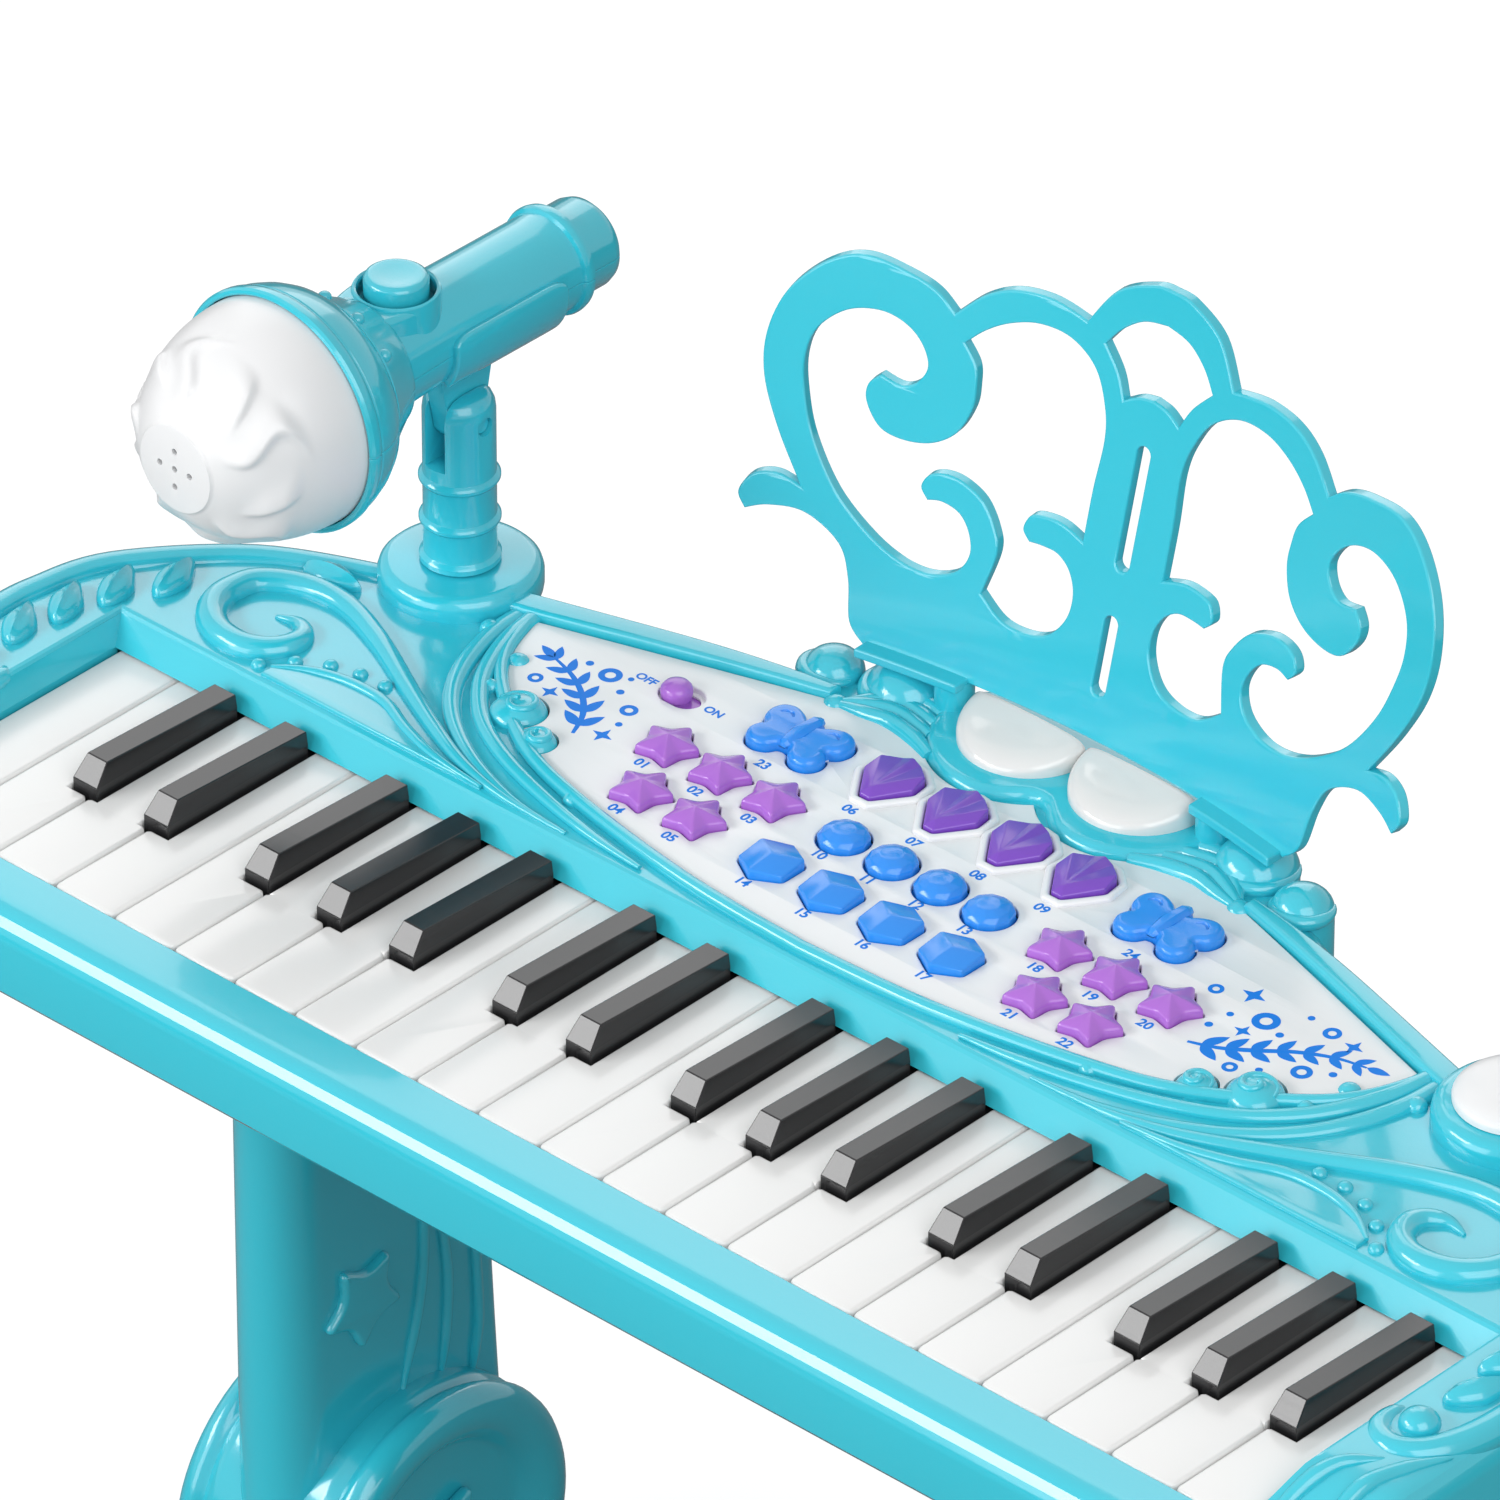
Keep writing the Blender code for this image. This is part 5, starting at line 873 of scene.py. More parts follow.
for stem in ([(-87.4, 103.6), (-90.4, 109.8), (-95.6, 115.2), (-102.2, 119.2), (-109.4, 121.6)],
             [(79.4, 106.4), (85.6, 109.0), (91.8, 113.4), (98.0, 118.4), (105.2, 122.2),
              (112.0, 123.8)]):
    line = smooth(stem, 6)
    marks.append(tube("stem", [(x, y, PANEL_TOP) for x, y in line], (0.4, 0.75, 0.65, 0.3), 2, 0.1))
    for i in range(3, len(line) - 1, 4):
        (x, y), (nx, ny) = line[i], line[i + 1]
        ahead = math.atan2(ny - y, nx - x) - math.pi / 2
        leaf_mark(x, y, ahead + 0.75, 6.6 - 0.07 * i)
        leaf_mark(x, y, ahead - 0.75, 6.6 - 0.07 * i)
    (x, y), (nx, ny) = line[-2], line[-1]
    leaf_mark(nx, ny, math.atan2(ny - y, nx - x) - math.pi / 2, 5.4)
for x, y, radius in ((-96.4, 124.6, 2.6), (-84.6, 117.6, 2.0), (-107.2, 113.4, 1.7),
                     (86.4, 122.4, 3.0), (99.0, 128.2, 2.0), (103.4, 113.8, 2.3),
                     (71.4, 124.2, 1.7), (91.6, 105.4, 1.7)):
    stamp(at(ring_plan(radius, 24), x, y), at(ring_plan(radius * 0.45, 24), x, y))
for x, y, radius in ((-90.6, 121.4, 0.9), (-82.6, 112.4, 0.8), (-102.6, 125.0, 0.9),
                     (-92.2, 126.4, 0.7), (78.6, 113.8, 0.9), (91.6, 120.6, 0.9),
                     (79.4, 119.4, 0.8), (92.4, 129.4, 0.8), (108.6, 117.4, 0.9),
                     (96.6, 108.6, 0.8)):
    stamp(at(ring_plan(radius, 16), x, y))
for x, y, radius in ((-82.4, 107.2, 2.6), (-101.4, 111.6, 2.3), (78.6, 127.6, 3.0),
                     (105.4, 127.4, 2.4), (85.2, 116.6, 2.2)):
    spark = [(reach * math.cos(math.pi / 4 * i), reach * math.sin(math.pi / 4 * i))
             for i, reach in enumerate((radius, radius * 0.38) * 4)]
    stamp(at(spark, x, y))
number = 0
for places, drop in ((STARS[-1], 8.0), (SHELLS, 11.6), (ROUNDS, 7.6), (GEMS, 8.8), (STARS[1], 8.0),
                     (BUTTERFLIES, 11.0)):
    for x, y in places:
        number += 1
        lettered(f"{number:02d}", x, y - drop, 3.5)
lettered("OFF", SWITCH[0] - 8.0, SWITCH[1] - 0.6, 3.0)
lettered("ON", SWITCH[0] + 10.6, SWITCH[1] - 0.2, 3.0)
settle(joined(*marks), "panel_print", ink, "keyboard")

# Star buttons: five lilac stars a side, moulded together on a carrier under the panel.
# Each star is plump, with five ridges from its points to the middle.
lilac = moulded("lilac_button", "lilac", (0.37, 0.125, 0.58, 1), (0.43, 0.16, 0.63, 1),
                0.18, 0.02, 0.05)
CARRIER = (4.8, 6.4)
CAP_FOOT = 5.0


def star_cap():
    """One plump star with a ridge from each point to the middle."""
    rim = eased(star_plan(7.4, 4.7), 0.22, 4)
    rows = [(1.0, CAP_FOOT), (1.0, PANEL_TOP + 0.9), (0.985, PANEL_TOP + 1.35),
            (0.945, PANEL_TOP + 1.7), (0.88, PANEL_TOP + 1.95), (0.03, PANEL_TOP + 3.6)]
    rings = [level([(x * share, y * share) for x, y in rim], z) for share, z in rows]
    return skinned("star_cap", rings)


star_one = star_cap()
for word, side in (("left", -1), ("right", 1)):
    middle = side * STAR_MIDDLE
    carrier = plate("star_carrier", [[(middle - 12.4, 92.2), (middle + 12.4, 92.2),
                                      (middle + 19.9, 118), (middle - 19.9, 118)]], *CARRIER, 0.2)
    stars = [copied(star_one, x, y) for x, y in STARS[side]]
    node = f"star_buttons_{word}"
    settle(joined(carrier, *stars), f"stars_{word}", lilac, node, node, angle=24)
bpy.data.objects.remove(star_one)

# Round and gem buttons: four of each in bright blue, each row on its own carrier.
# The rounds are low faceted domes, and the gems have three kite facets that meet in the middle.
blue = moulded("blue_button", "blue", (0.018, 0.245, 0.80, 1), (0.03, 0.29, 0.84, 1),
               0.18, 0.02, 0.05)


def button_row(cap, places, half, name, finish, node, angle):
    """Copies of a cap on one flat carrier under the panel, which move as one piece."""
    middle = places[0][1]
    carrier = plate("carrier", [oblong((-half, middle - 5), (half, middle + 5))], *CARRIER, 0.2)
    caps = [copied(cap, x, y) for x, y in places]
    settle(joined(carrier, *caps), name, finish, node, node, angle=angle)
    bpy.data.objects.remove(cap)


rows = [level(ring_plan(5.6, 10), CAP_FOOT), level(ring_plan(5.6, 10), PANEL_TOP + 1.0),
        level(ring_plan(4.7, 10, math.pi / 10), PANEL_TOP + 2.0),
        level(ring_plan(2.6, 10), PANEL_TOP + 2.75),
        level(ring_plan(0.9, 10, math.pi / 10), PANEL_TOP + 2.9)]
round_one = soften(skinned("round_cap", rows), 0.28, 2, 8)
button_row(round_one, ROUNDS, 26, "rounds", blue, "round_buttons", 24)
hexagon = ring_plan(7.0, 6, math.pi / 6)
points = level(hexagon, CAP_FOOT)
points += [(x, y, PANEL_TOP + (1.2 if i % 2 else 2.1)) for i, (x, y) in enumerate(hexagon)]
points.append((0, 0, PANEL_TOP + 3.0))
faces = [tuple(reversed(range(6)))] + [(i, (i + 1) % 6, 6 + (i + 1) % 6, 6 + i) for i in range(6)]
faces += [(6 + i, 6 + i + 1, 6 + (i + 2) % 6, 12) for i in (0, 2, 4)]
gem_one = soften(weld(meshed("gem_cap", points, [], faces)), 0.45, 3, 10)
button_row(gem_one, GEMS, 32, "gems", blue, "gem_buttons", 24)

# Shell buttons: four violet fans on one carrier, with flat facets that run from the front edge
# to the back corners.
violet = moulded("violet_button", "violet", (0.175, 0.052, 0.47, 1), (0.21, 0.07, 0.52, 1),
                 0.2, 0.02, 0.05)
fan = shell_plan()
rises = (1.4, 2.0, 3.0, 2.3, 3.2, 2.3, 3.0, 2.0, 1.4)
points = level(fan, CAP_FOOT) + [(x, y, PANEL_TOP + rise) for (x, y), rise in zip(fan, rises)]
points.append((0, -4.8, PANEL_TOP + 2.7))
faces = [tuple(reversed(range(9)))] + [(i, (i + 1) % 9, 9 + (i + 1) % 9, 9 + i) for i in range(9)]
faces += [(9 + i, 9 + (i + 1) % 9, 18) for i in range(9)]
shell_one = soften(weld(meshed("shell_cap", points, [], faces)), 0.3, 3, 8)
button_row(shell_one, SHELLS, 33.5, "shells", violet, "shell_buttons", 20)

# Butterfly buttons: two blue caps with four pillowed wings about a faceted body, on round flanges.
# A short curved groove marks each back wing.
WING_TOP = PANEL_TOP + 2.7
for word, (x, y) in zip(("left", "right"), BUTTERFLIES):
    wings = plate("wings", [butterfly_plan()], CAP_FOOT, WING_TOP, 1.7, 6)
    grooves = []
    for side in (-1, 1):
        knots = ((4.6, 3.4), (5.8, 4.4), (7.2, 4.2), (8.0, 3.2))
        groove = smooth([(side * px, py, WING_TOP) for px, py in knots], 4)
        grooves.append(tube("groove", groove, (0.2, 0.5, 0.5, 0.2), 2))
    carve(wings, grooves)
    spine = [(-5.2, 0.8, 2.4), (-4.2, 1.5, 3.1), (0.0, 1.9, 3.8), (5.4, 1.7, 3.5), (7.2, 0.9, 2.6)]
    body = skinned("body", [[(side * wide, along, PANEL_TOP + rise) for side, rise in
                             ((-1, 1.6), (-1, top - 0.9), (-0.45, top), (0.45, top), (1, top - 0.9),
                              (1, 1.6))]
                            for along, wide, top in spine])
    parts = [wings, plate("flange", [ring_plan(12, 48)], *CARRIER, 0.2), soften(body, 0.3, 2, 15)]
    node = f"butterfly_button_{word}"
    settle(shifted(joined(*parts), x, y), f"butterfly_{word}", blue, node, node, angle=50)

# Power switch: a small nub of the same lilac plastic as the stars. It is moulded on a flat slider,
# which lies under the panel and lets it slide along its slot.
nub = turned("nub", [(0, 5.4), (2.7, 5.4), (2.7, PANEL_TOP - 1.0), (3.3, PANEL_TOP - 0.9),
                     (3.5, PANEL_TOP + 0.6), (3.3, PANEL_TOP + 1.5), (2.6, PANEL_TOP + 2.3),
                     (1.4, PANEL_TOP + 2.75), (0, PANEL_TOP + 2.9)], 40)
slider = plate("slider", [oblong((-5.7, -5), (5.7, 5))], *CARRIER, 0.2)
settle(shifted(joined(slider, nub), *SWITCH), "switch_nub", lilac, "power_switch", "power_switch")

# Lamps: a pair of half-round covers in one milky moulding, pushed down on the cloud in front
# of the music rest, and a low dome of white plastic on the right turret.
LAMP_RADIUS = 15.3
DOME_RADIUS, DOME_FOOT, DOME_RISE = 13.4, 13.9, 3.5
milk = moulded("lamp_milk", "lamp", (0.70, 0.69, 0.675, 1), (0.74, 0.735, 0.72, 1),
               0.12, 0.01, 0.1, 0.3)
lamp_line = [(1.0, 0.0), (1.0, 0.22), (0.992, 0.42), (0.968, 0.60), (0.925, 0.76), (0.865, 0.89),
             (0.78, 0.98), (0.66, 1.04), (0.4, 1.08), (0.1, 1.09)]
lamp_halves = []
for side in (-1, 1):
    rings = []
    for scale, lift in lamp_line:
        ring = []
        for i in range(49):
            a = math.pi + math.pi * i / 48
            x = LAMP_SIDE * side + LAMP_RADIUS * scale * math.cos(a)
            y = LAMP_RADIUS * scale * math.sin(a)
            rise = 3.2 * (1 + y / 15.6) if lift else 0.0
            ring.append((x, REST_Y - LAMP_AHEAD + y, 9.7 + 2.8 * lift + rise))
        rings.append(ring)
    lamp_halves.append(soften(skinned("lamp_half", rings), 0.5, 3, 50))
settle(joined(*lamp_halves), "lamp_covers", milk, "keyboard", "lamp_lens", angle=50)
dome_line = [(0, 13.0), (DOME_RADIUS, 13.0), (DOME_RADIUS, DOME_FOOT)]
dome_line += [(DOME_RADIUS * math.cos(a) ** 0.8, DOME_FOOT + DOME_RISE * math.sin(a))
              for a in (math.pi / 2 * i / 14 for i in range(1, 14))]
light = shifted(turned("light", dome_line + [(0, 17.4)], 64), *TURRET_AT)
settle(light, "turret_light", panel_white, "keyboard", "light_dome")

# Music rest: a thin teal plate of open scroll work, bent round the player and leaned back.
# Two posts under its foot plug into the cloud, and two ledges hold the sheets.
REST_BEND = 293.0
REST_LEAN = math.radians(14.2)
REST_FOOT = 16.3
SLOT_HALF = 1.8


def cusped(runs, steps):
    """Smooth runs of knots that meet in sharp corners."""
    points = []
    for run in runs:
        points += smooth(run, steps)[1 if points else 0:]
    return points


flank = [(58, 0), (62, 4), (64, 13), (67.5, 20), (76, 24.5), (84, 24), (89, 22)]
tip = [(89, 22), (91, 25.5), (88.5, 30), (83.5, 31.5), (78, 30)]
lobe = [(78, 30), (85, 41), (90, 52), (91, 62), (88, 72), (81, 80), (73, 83.5), (63, 82.5),
        (56, 80.5), (51, 77)]
arch = [(51, 77), (45, 83), (38, 86.5), (29, 87.5), (20, 86)]
crown = [(20, 86), (14, 95), (5, 99.5), (0, 100)]
rest_plan = mirrored([(0, 0), (40, 0)] + cusped((flank, tip, lobe, arch, crown), 7))
ring = [(65, 59), (60, 58), (56.5, 60), (55, 64), (57.5, 68.5), (62, 71.5), (68, 72.5), (75, 70.5),
        (80.5, 65), (82, 58), (80.5, 50), (77, 41), (70, 31), (61, 24), (53, 20.5), (46, 20),
        (40, 22.5), (37.5, 27), (38.5, 31.5), (41.5, 35), (46, 36.2), (49.5, 35.5)]
outer_hook = [(49.5, 35.5), (51.5, 38), (50, 41), (46.5, 42.3), (42, 42), (36.5, 39.5),
              (32.5, 34.5), (31, 29.5), (33, 20)]
pocket = [(33, 20), (27, 16), (20.5, 15.5), (15, 17.5), (11.5, 22.5), (11, 28), (13, 32.5),
          (16.5, 35), (20.5, 35.3), (24, 35)]
inner_hook = [(24, 35), (26, 37.2), (25, 40.3), (22.5, 41.5), (17, 41.8), (11, 40)]
bar = [(11, 40), (11, 52), (10.5, 63), (12, 70), (16, 77), (23, 81), (31, 81.3), (38, 79),
       (43.5, 75.5), (47.5, 71.5)]
curl = [(47.5, 71.5), (44, 67.5), (43, 63), (43, 58), (45.5, 52), (50.5, 48), (57, 46.5),
        (63, 47.5), (67, 52), (67.5, 56), (65, 59)]
window = cusped((ring, outer_hook, pocket, inner_hook, bar, curl), 6)[:-1]
top_window = mirrored(cusped(([(0, 75.8), (4, 75), (7.5, 73)], [(7.5, 73), (10, 78), (14.5, 83)],
                              [(14.5, 83), (11, 87.5), (6, 91), (0, 92.3)]), 6))


def rest_slot(low, high):
    """A slot with round ends on the middle line."""
    return [(SLOT_HALF * math.cos(a),
             (high - SLOT_HALF if a < math.pi else low + SLOT_HALF) + SLOT_HALF * math.sin(a))
            for a in (math.pi * (i + 0.5) / 8 for i in range(16))]


def rest_point(x, up, depth):
    """A point of the rest: drawn flat, bent round the player and leaned back."""
    turn = math.asin(x / REST_BEND)
    reach = REST_BEND + depth
    y = REST_Y - REST_BEND + reach * math.cos(turn) + up * math.sin(REST_LEAN)
    return (reach * math.sin(turn), y, REST_FOOT + up * math.cos(REST_LEAN))


def sliced(piece, way, step, count):
    """Cut edges across a piece, count to either side of its middle, so that it can be bent."""
    only(piece)
    bpy.ops.object.mode_set(mode="EDIT")
    for i in range(-count, count + 1):
        bpy.ops.mesh.select_all(action="SELECT")
        bpy.ops.mesh.bisect(plane_co=step * i * MM * Vector(way), plane_no=way)
    bpy.ops.object.mode_set(mode="OBJECT")


rest_outlines = [rest_plan, window, [(-x, y) for x, y in reversed(window)], top_window,
                 rest_slot(9.5, 27.5), rest_slot(37.5, 65.5)]
rest = plate("rest", rest_outlines, -1.3, 1.3, 0.45, 2)
sliced(rest, (1, 0, 0), 6.2, 14)
for vert in rest.data.vertices:
    vert.co = MM * Vector(rest_point(*(vert.co / MM)))
rest_parts = [rest]
for side in (-1, 1):
    sections = []
    for i in range(9):
        x, y, z = rest_point(side * (32 + 25 * i / 8), 0.0, 0.0)
        sections.append([(x, py, pz) for py, pz in oblong((y - 5, z - 1.1), (y + 0.5, z + 1.1))])
    rest_parts.append(soften(skinned("ledge", sections), 0.4, 2))
    post = turned("post", [(0, 3.4), (3.8, 3.4), (4.3, 4.0), (4.3, REST_FOOT), (0, REST_FOOT)], 32)
    rest_parts.append(shifted(post, side * 36, REST_Y - 2.5))
settle(joined(*rest_parts), "scroll_rest", teal, "keyboard", "music_rest", angle=12)

# Microphone post: a forked post of teal plastic with three rings. Its peg turns in the socket of
# the left turret, and a pin through its fork carries the microphone.
PIVOT = Vector((-TURRET_AT[0], TURRET_AT[1], 48.2))
post_line = [(0, -8), (5.0, -8), (5.0, 0), (8.3, 0), (8.7, 0.4), (8.7, 1.5), (8.3, 2.0), (7.8, 2.4)]
for height in (10.4, 20.6):
    post_line += [(7.8, height - 1.2), (8.3, height - 0.9), (8.7, height - 0.3),
                  (8.7, height + 0.3), (8.3, height + 0.9), (7.8, height + 1.2)]
post_line += [(7.8, 37.0), (7.6, 38.6), (6.9, 40.2), (5.6, 41.3), (3.8, 41.8), (0, 41.8)]
post = turned("post", post_line, 64)
hole = put(turned("hole", [(0, -20), (2.1, -20), (2.1, 20), (0, 20)], 32), ON_SIDE)
carve(post, [block((-2.8, -20, 24.8), (2.8, 20, 60)), shifted(hole, 0, 0, 35.2)])
soften(post, 0.45, 2, 50)
settle(shifted(post, PIVOT.x, PIVOT.y, 13.0), "microphone_post", teal, "mic_post", "mic_post",
       angle=32)

# Microphone handle: two teal halves with a tail, a flange, a grip and a flared collar.
# A housing on top holds the button, and a tongue under the saddle tilts in the post's fork.
AXIS = 25.3
BUTTON_AT = (0, -18.5, AXIS)
MIC = Matrix.Translation(MM * PIVOT) @ Matrix.Rotation(-math.radians(0.5), 4, "X")
ALONG = Matrix.Translation((0, 0, AXIS * MM)) @ Matrix.Rotation(math.pi / 2, 4, "X")
handle_line = [(0, -40), (6.8, -40), (8.6, -39.6), (9.7, -38.5), (10.2, -36.8), (10.2, -29.4),
               (11.5, -29.0), (12.2, -28.5), (12.4, -27.6), (12.4, -26.9), (12.1, -26.1),
               (11.3, -25.7)]
handle_line += smooth([(11.2, -25.2), (11.2, 0), (11.6, 16), (12.3, 27.6)], 4)
handle_line += [(13.2, 27.7), (14.2, 27.9), (14.9, 28.5), (15.3, 29.6), (16.9, 32.6), (18.2, 35),
                (19.4, 37), (20.8, 39.2), (20.7, 39.8), (21.2, 40.2), (22.2, 40.7), (23.6, 42.2),
                (25.2, 45), (26.3, 48), (26.7, 50)]
handle_line += [(26.5, 50.4), (26.9, 50.9), (27.3, 51.4), (27.4, 52.2), (27.4, 53.2), (27.0, 53.8),
                (26.4, 54.0), (25.9, 53.8), (25.9, 50), (0, 50)]
handle = put(turned("handle", handle_line, 80), Matrix.Rotation(math.radians(2.25), 4, "Z"))
shells = [handle, copied(handle, 0, 0)]
for half, way in zip(shells, (-1, 1)):
    only(half)
    bpy.ops.object.mode_set(mode="EDIT")
    bpy.ops.mesh.select_all(action="SELECT")
    bpy.ops.mesh.bisect(plane_co=(0, 0, 0), plane_no=(0, way, 0), use_fill=True, clear_outer=True)
    bpy.ops.object.mode_set(mode="OBJECT")
    put(soften(weld(half), 0.22, 2, 60), ALONG)
handle_parts = list(shells)
saddle_plan = eased(oblong((-20, -7.4), (13.6, 7.4)), 0.18, 6)
saddle = plate("saddle", [saddle_plan], 10.4, 13.0, 0.7, 3)
sliced(saddle, (0, 1, 0), 1.3, 5)
other_saddle = copied(saddle, 0, 0)
for pad, side in ((saddle, 1), (other_saddle, -1)):
    for vert in pad.data.vertices:
        along, arc, reach = vert.co
        turn = arc / (12 * MM) - math.radians(16)
        vert.co = (side * reach * math.cos(turn), reach * math.sin(turn), along)
    handle_parts.append(put(weld(pad), ALONG))
for degrees in (40, 68, 96, 124, 152):
    turn = math.radians(degrees)
    bead = flat_ball(0, 0, 0, 1.5, 1.3, 20)
    out = Matrix.Translation((19.6 * MM, 0, 37.6 * MM)) @ Matrix.Rotation(math.pi / 2, 4, "Y")
    put(bead, Matrix.Rotation(turn, 4, "Z") @ out)
    handle_parts.append(put(bead, ALONG))
drop = [(9.1 * math.cos(a), 9.1 * math.sin(a)) for a in (math.pi * i / 20 for i in range(21))]
drop_point = [(-9.1, 0), (-8.2, -8), (-5.4, -16), (0, -21), (5.4, -16), (8.2, -8), (9.1, 0)]
drop += smooth(drop_point, 4)[1:-1]
housing = plate("housing", [drop], 2, 13.6, 1.5, 4)
handle_parts.append(shifted(housing, *BUTTON_AT))
for part in (handle_parts[0], housing):
    pocket = turned("pocket", [(0, 10.4), (8.2, 10.4), (8.2, 30), (0, 30)], 64)
    carve(part, [shifted(pocket, *BUTTON_AT)])
collar = turned("collar", [(8.2, 4), (9.4, 4), (9.4, 13.6), (9.2, 14.1), (8.8, 14.3), (8.4, 14.1),
                           (8.2, 13.6), (8.2, 4)], 64)
handle_parts.append(shifted(collar, *BUTTON_AT))
eye = [(5.2 * math.cos(a), 5.2 * math.sin(a))
       for a in (math.radians(200 + 7 * i) for i in range(21))]
tongue = [*eye, (8, AXIS - 11), (9, AXIS - 7), (-9, AXIS - 7)]
handle_parts.append(skinned("tongue", [[(x, y, z) for y, z in tongue] for x in (-2.5, 2.5)]))
handle_parts.append(put(turned("pin", [(0, -6.6), (1.8, -6.6), (1.8, 6.6), (0, 6.6)], 32), ON_SIDE))
handle = joined(*handle_parts)
settle(put(handle, MIC), "microphone_handle", teal, "microphone", "mic_handle", angle=32)

# Microphone head: a glossy white dome clipped into the collar, with a whirl of moulded folds
# round a flat disc that has a few tiny sound holes.
HEAD_RADIUS, HEAD_BACK, HEAD_RISE = 25.6, 54, 29.3
DISC_RADIUS = 10.2
FOLDS = 5
FOLD_RISE = 1.4
last = math.acos(DISC_RADIUS / HEAD_RADIUS)
dome = HEAD_RISE / math.sin(last)
head_line = [(0, 50.3), (HEAD_RADIUS, 50.3)]
head_line += [(HEAD_RADIUS * math.cos(last * i / 56), HEAD_BACK + dome * math.sin(last * i / 56))
              for i in range(57)]
head_line += [(9.9, 83.85), (9.5, 84.0), (0, 84.0)]
head = turned("head", head_line, 200)
for vert in head.data.vertices:
    along = vert.co.z / MM - HEAD_BACK
    if along > 0.5 and math.hypot(vert.co.x, vert.co.y) > 10.4 * MM:
        share = along / HEAD_RISE
        turn = math.atan2(vert.co.y, vert.co.x) / (2 * math.pi) * FOLDS
        long_fold = 0.3 + 0.5 * (share - 0.6) + 0.15 * math.sin(11 * (share - 0.45))
        short_fold = 0.78 - 0.8 * (share - 0.7)
        rise = 0.0
        for low, high, line in ((0.42, 0.97, long_fold), (0.5, 0.88, short_fold)):
            off = (turn - line + 0.5) % 1.0 - 0.5
            span = max(0.0, min(1.0, (share - low) / 0.16, (high - share) / 0.16))
            width = 0.05 if off < 0 else 0.17
            rise += span * span * (3 - 2 * span) * math.exp(-(off / width) ** 2)
        outward = Vector((vert.co.x, vert.co.y, (along - 8) * MM)).normalized()
        vert.co += outward * FOLD_RISE * MM * rise
for x, y in ((0, 0), (4.2, 0), (-4.2, 0), (0, 4.2), (0, -4.2)):
    hole = turned("sound_hole", [(0, 81), (0.75, 81), (0.75, 90), (0, 90)], 16)
    carve(head, [shifted(hole, x, y)])
put(head, MIC @ ALONG)
settle(head, "microphone_head", panel_white, "microphone", "mic_head", angle=40)

# Microphone button: a round push button of teal plastic with a dished top. It sits in the collar
# of the housing on the grip and springs back.
button_line = [(0, 12.2), (6.9, 12.2), (6.9, 16.2), (6.6, 16.9), (5.9, 17.35), (5.2, 17.4),
               (3.6, 17.1), (0, 16.9)]
button = shifted(turned("button", button_line, 64), *BUTTON_AT)
settle(put(button, MIC), "microphone_button", teal, "mic_button", "mic_button", angle=40)

# Studio: a pale floor that runs out of sight, a strip light at the front left, large soft boxes in
# front, high at the right and behind, and a long lens from the front right, a little above.
bpy.ops.object.select_all(action="DESELECT")
bpy.ops.mesh.primitive_plane_add(size=30.0, location=(0, 0, -0.0005))
floor = bpy.context.object
floor.name = "studio_floor"
paper = bpy.data.materials.new("studio_paper")
paper.use_nodes = True
feed = Feed(paper.node_tree)
sheet = paper.node_tree.nodes["Principled BSDF"]
sheet.inputs["Base Color"].default_value = (0.25, 0.25, 0.25, 1)
sheet.inputs["Roughness"].default_value = 0.9
sheet.inputs["Specular IOR Level"].default_value = 0.0
sheet.inputs["Emission Strength"].default_value = 0.84
ray = feed.node("LightPath", {}, {}, "Is Camera Ray")
seen = feed.node("Mix", {"data_type": "RGBA"}, {0: ray, 6: (0, 0, 0, 1), 7: (1, 1, 1, 1)}, 2)
seen.into(sheet, "Emission Color")
floor.data.materials.append(paper)

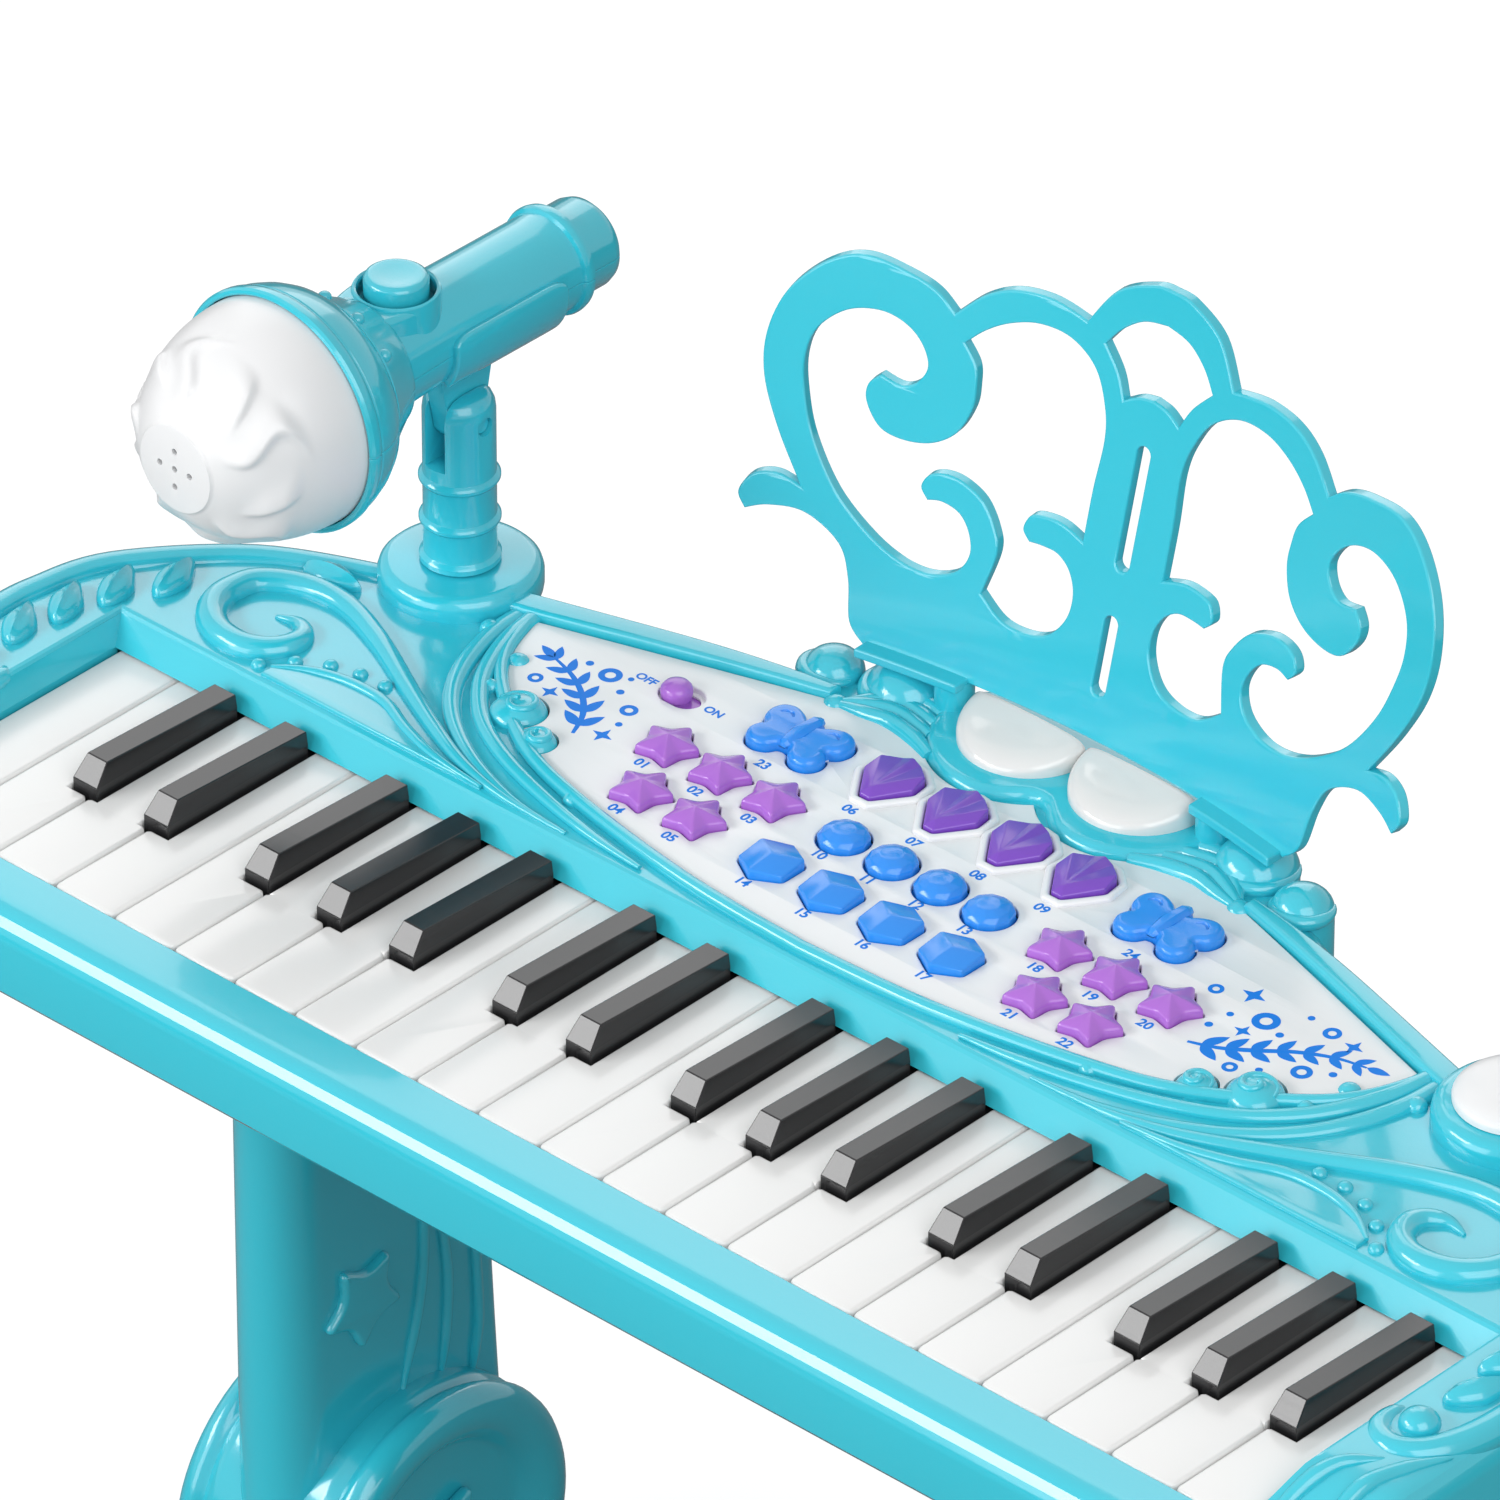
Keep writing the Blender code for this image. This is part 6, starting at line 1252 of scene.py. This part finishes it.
world = bpy.data.worlds.new("studio_air")
bpy.context.scene.world = world
world.use_nodes = True
air = Feed(world.node_tree)
camera_ray = air.node("LightPath", {}, {}, "Is Camera Ray")
glossy_ray = air.node("LightPath", {}, {}, "Is Glossy Ray")
clear_ray = air.node("LightPath", {}, {}, "Is Transmission Ray")
strength = 0.4 + (camera_ray + glossy_ray + clear_ray) * 0.6
air.tree.links.new(strength.socket, world.node_tree.nodes["Background"].inputs["Strength"])
world.node_tree.nodes["Background"].inputs["Color"].default_value = (1, 1, 1, 1)

AIM = spot(0, 15, 0)
SOFT_BOXES = (("front_strip", (-0.564, -0.662, 0.494), 0.9, 0.36, 1.6, 11.0),
              ("front_fill", (-0.17, -0.95, 0.28), 1.2, 1.2, 1.8, 12.0),
              ("side_box", (0.75, -0.35, 0.64), 1.4, 1.4, 1.8, 17.0),
              ("back_box", (-0.564, 0.655, 0.504), 1.2, 1.2, 1.8, 6.5))
for name, way, width, height, distance, power in SOFT_BOXES:
    way = Vector(way).normalized()
    lamp = bpy.data.lights.new(name, "AREA")
    lamp.shape = "RECTANGLE"
    lamp.size = width
    lamp.size_y = height
    lamp.energy = power
    box = bpy.data.objects.new(name, lamp)
    box.location = AIM + way * distance
    box.rotation_euler = way.to_track_quat("Z", "Y").to_euler()
    bpy.context.scene.collection.objects.link(box)

FRAME = 1500
KEYS_SEEN_AT = (652.2, 1073)
SENSOR = 36.0
azimuth, elevation, focal = math.radians(42.76), math.radians(33.86), 16852
away = Vector((math.sin(azimuth) * math.cos(elevation), -math.cos(azimuth) * math.cos(elevation),
               math.sin(elevation)))
right = Vector((math.cos(azimuth), math.sin(azimuth), 0.0))
up = away.cross(right)
distance = 199.3 * KEY_PITCH
aside = (KEYS_SEEN_AT[0] - FRAME / 2) * distance / focal
above = -(KEYS_SEEN_AT[1] - FRAME / 2) * distance / focal
eye = spot(0, 2 * KEY_PITCH) + MM * (away * distance - right * aside - up * above)
lens = bpy.data.cameras.new("photo_camera")
lens.sensor_width = SENSOR
lens.lens = focal / FRAME * SENSOR
lens.clip_end = 100.0
camera = bpy.data.objects.new("photo_camera", lens)
camera.matrix_world = Matrix((right, up, away)).transposed().to_4x4()
camera.location = eye
bpy.context.scene.collection.objects.link(camera)
bpy.context.scene.camera = camera
bpy.context.scene.view_settings.view_transform = "Standard"
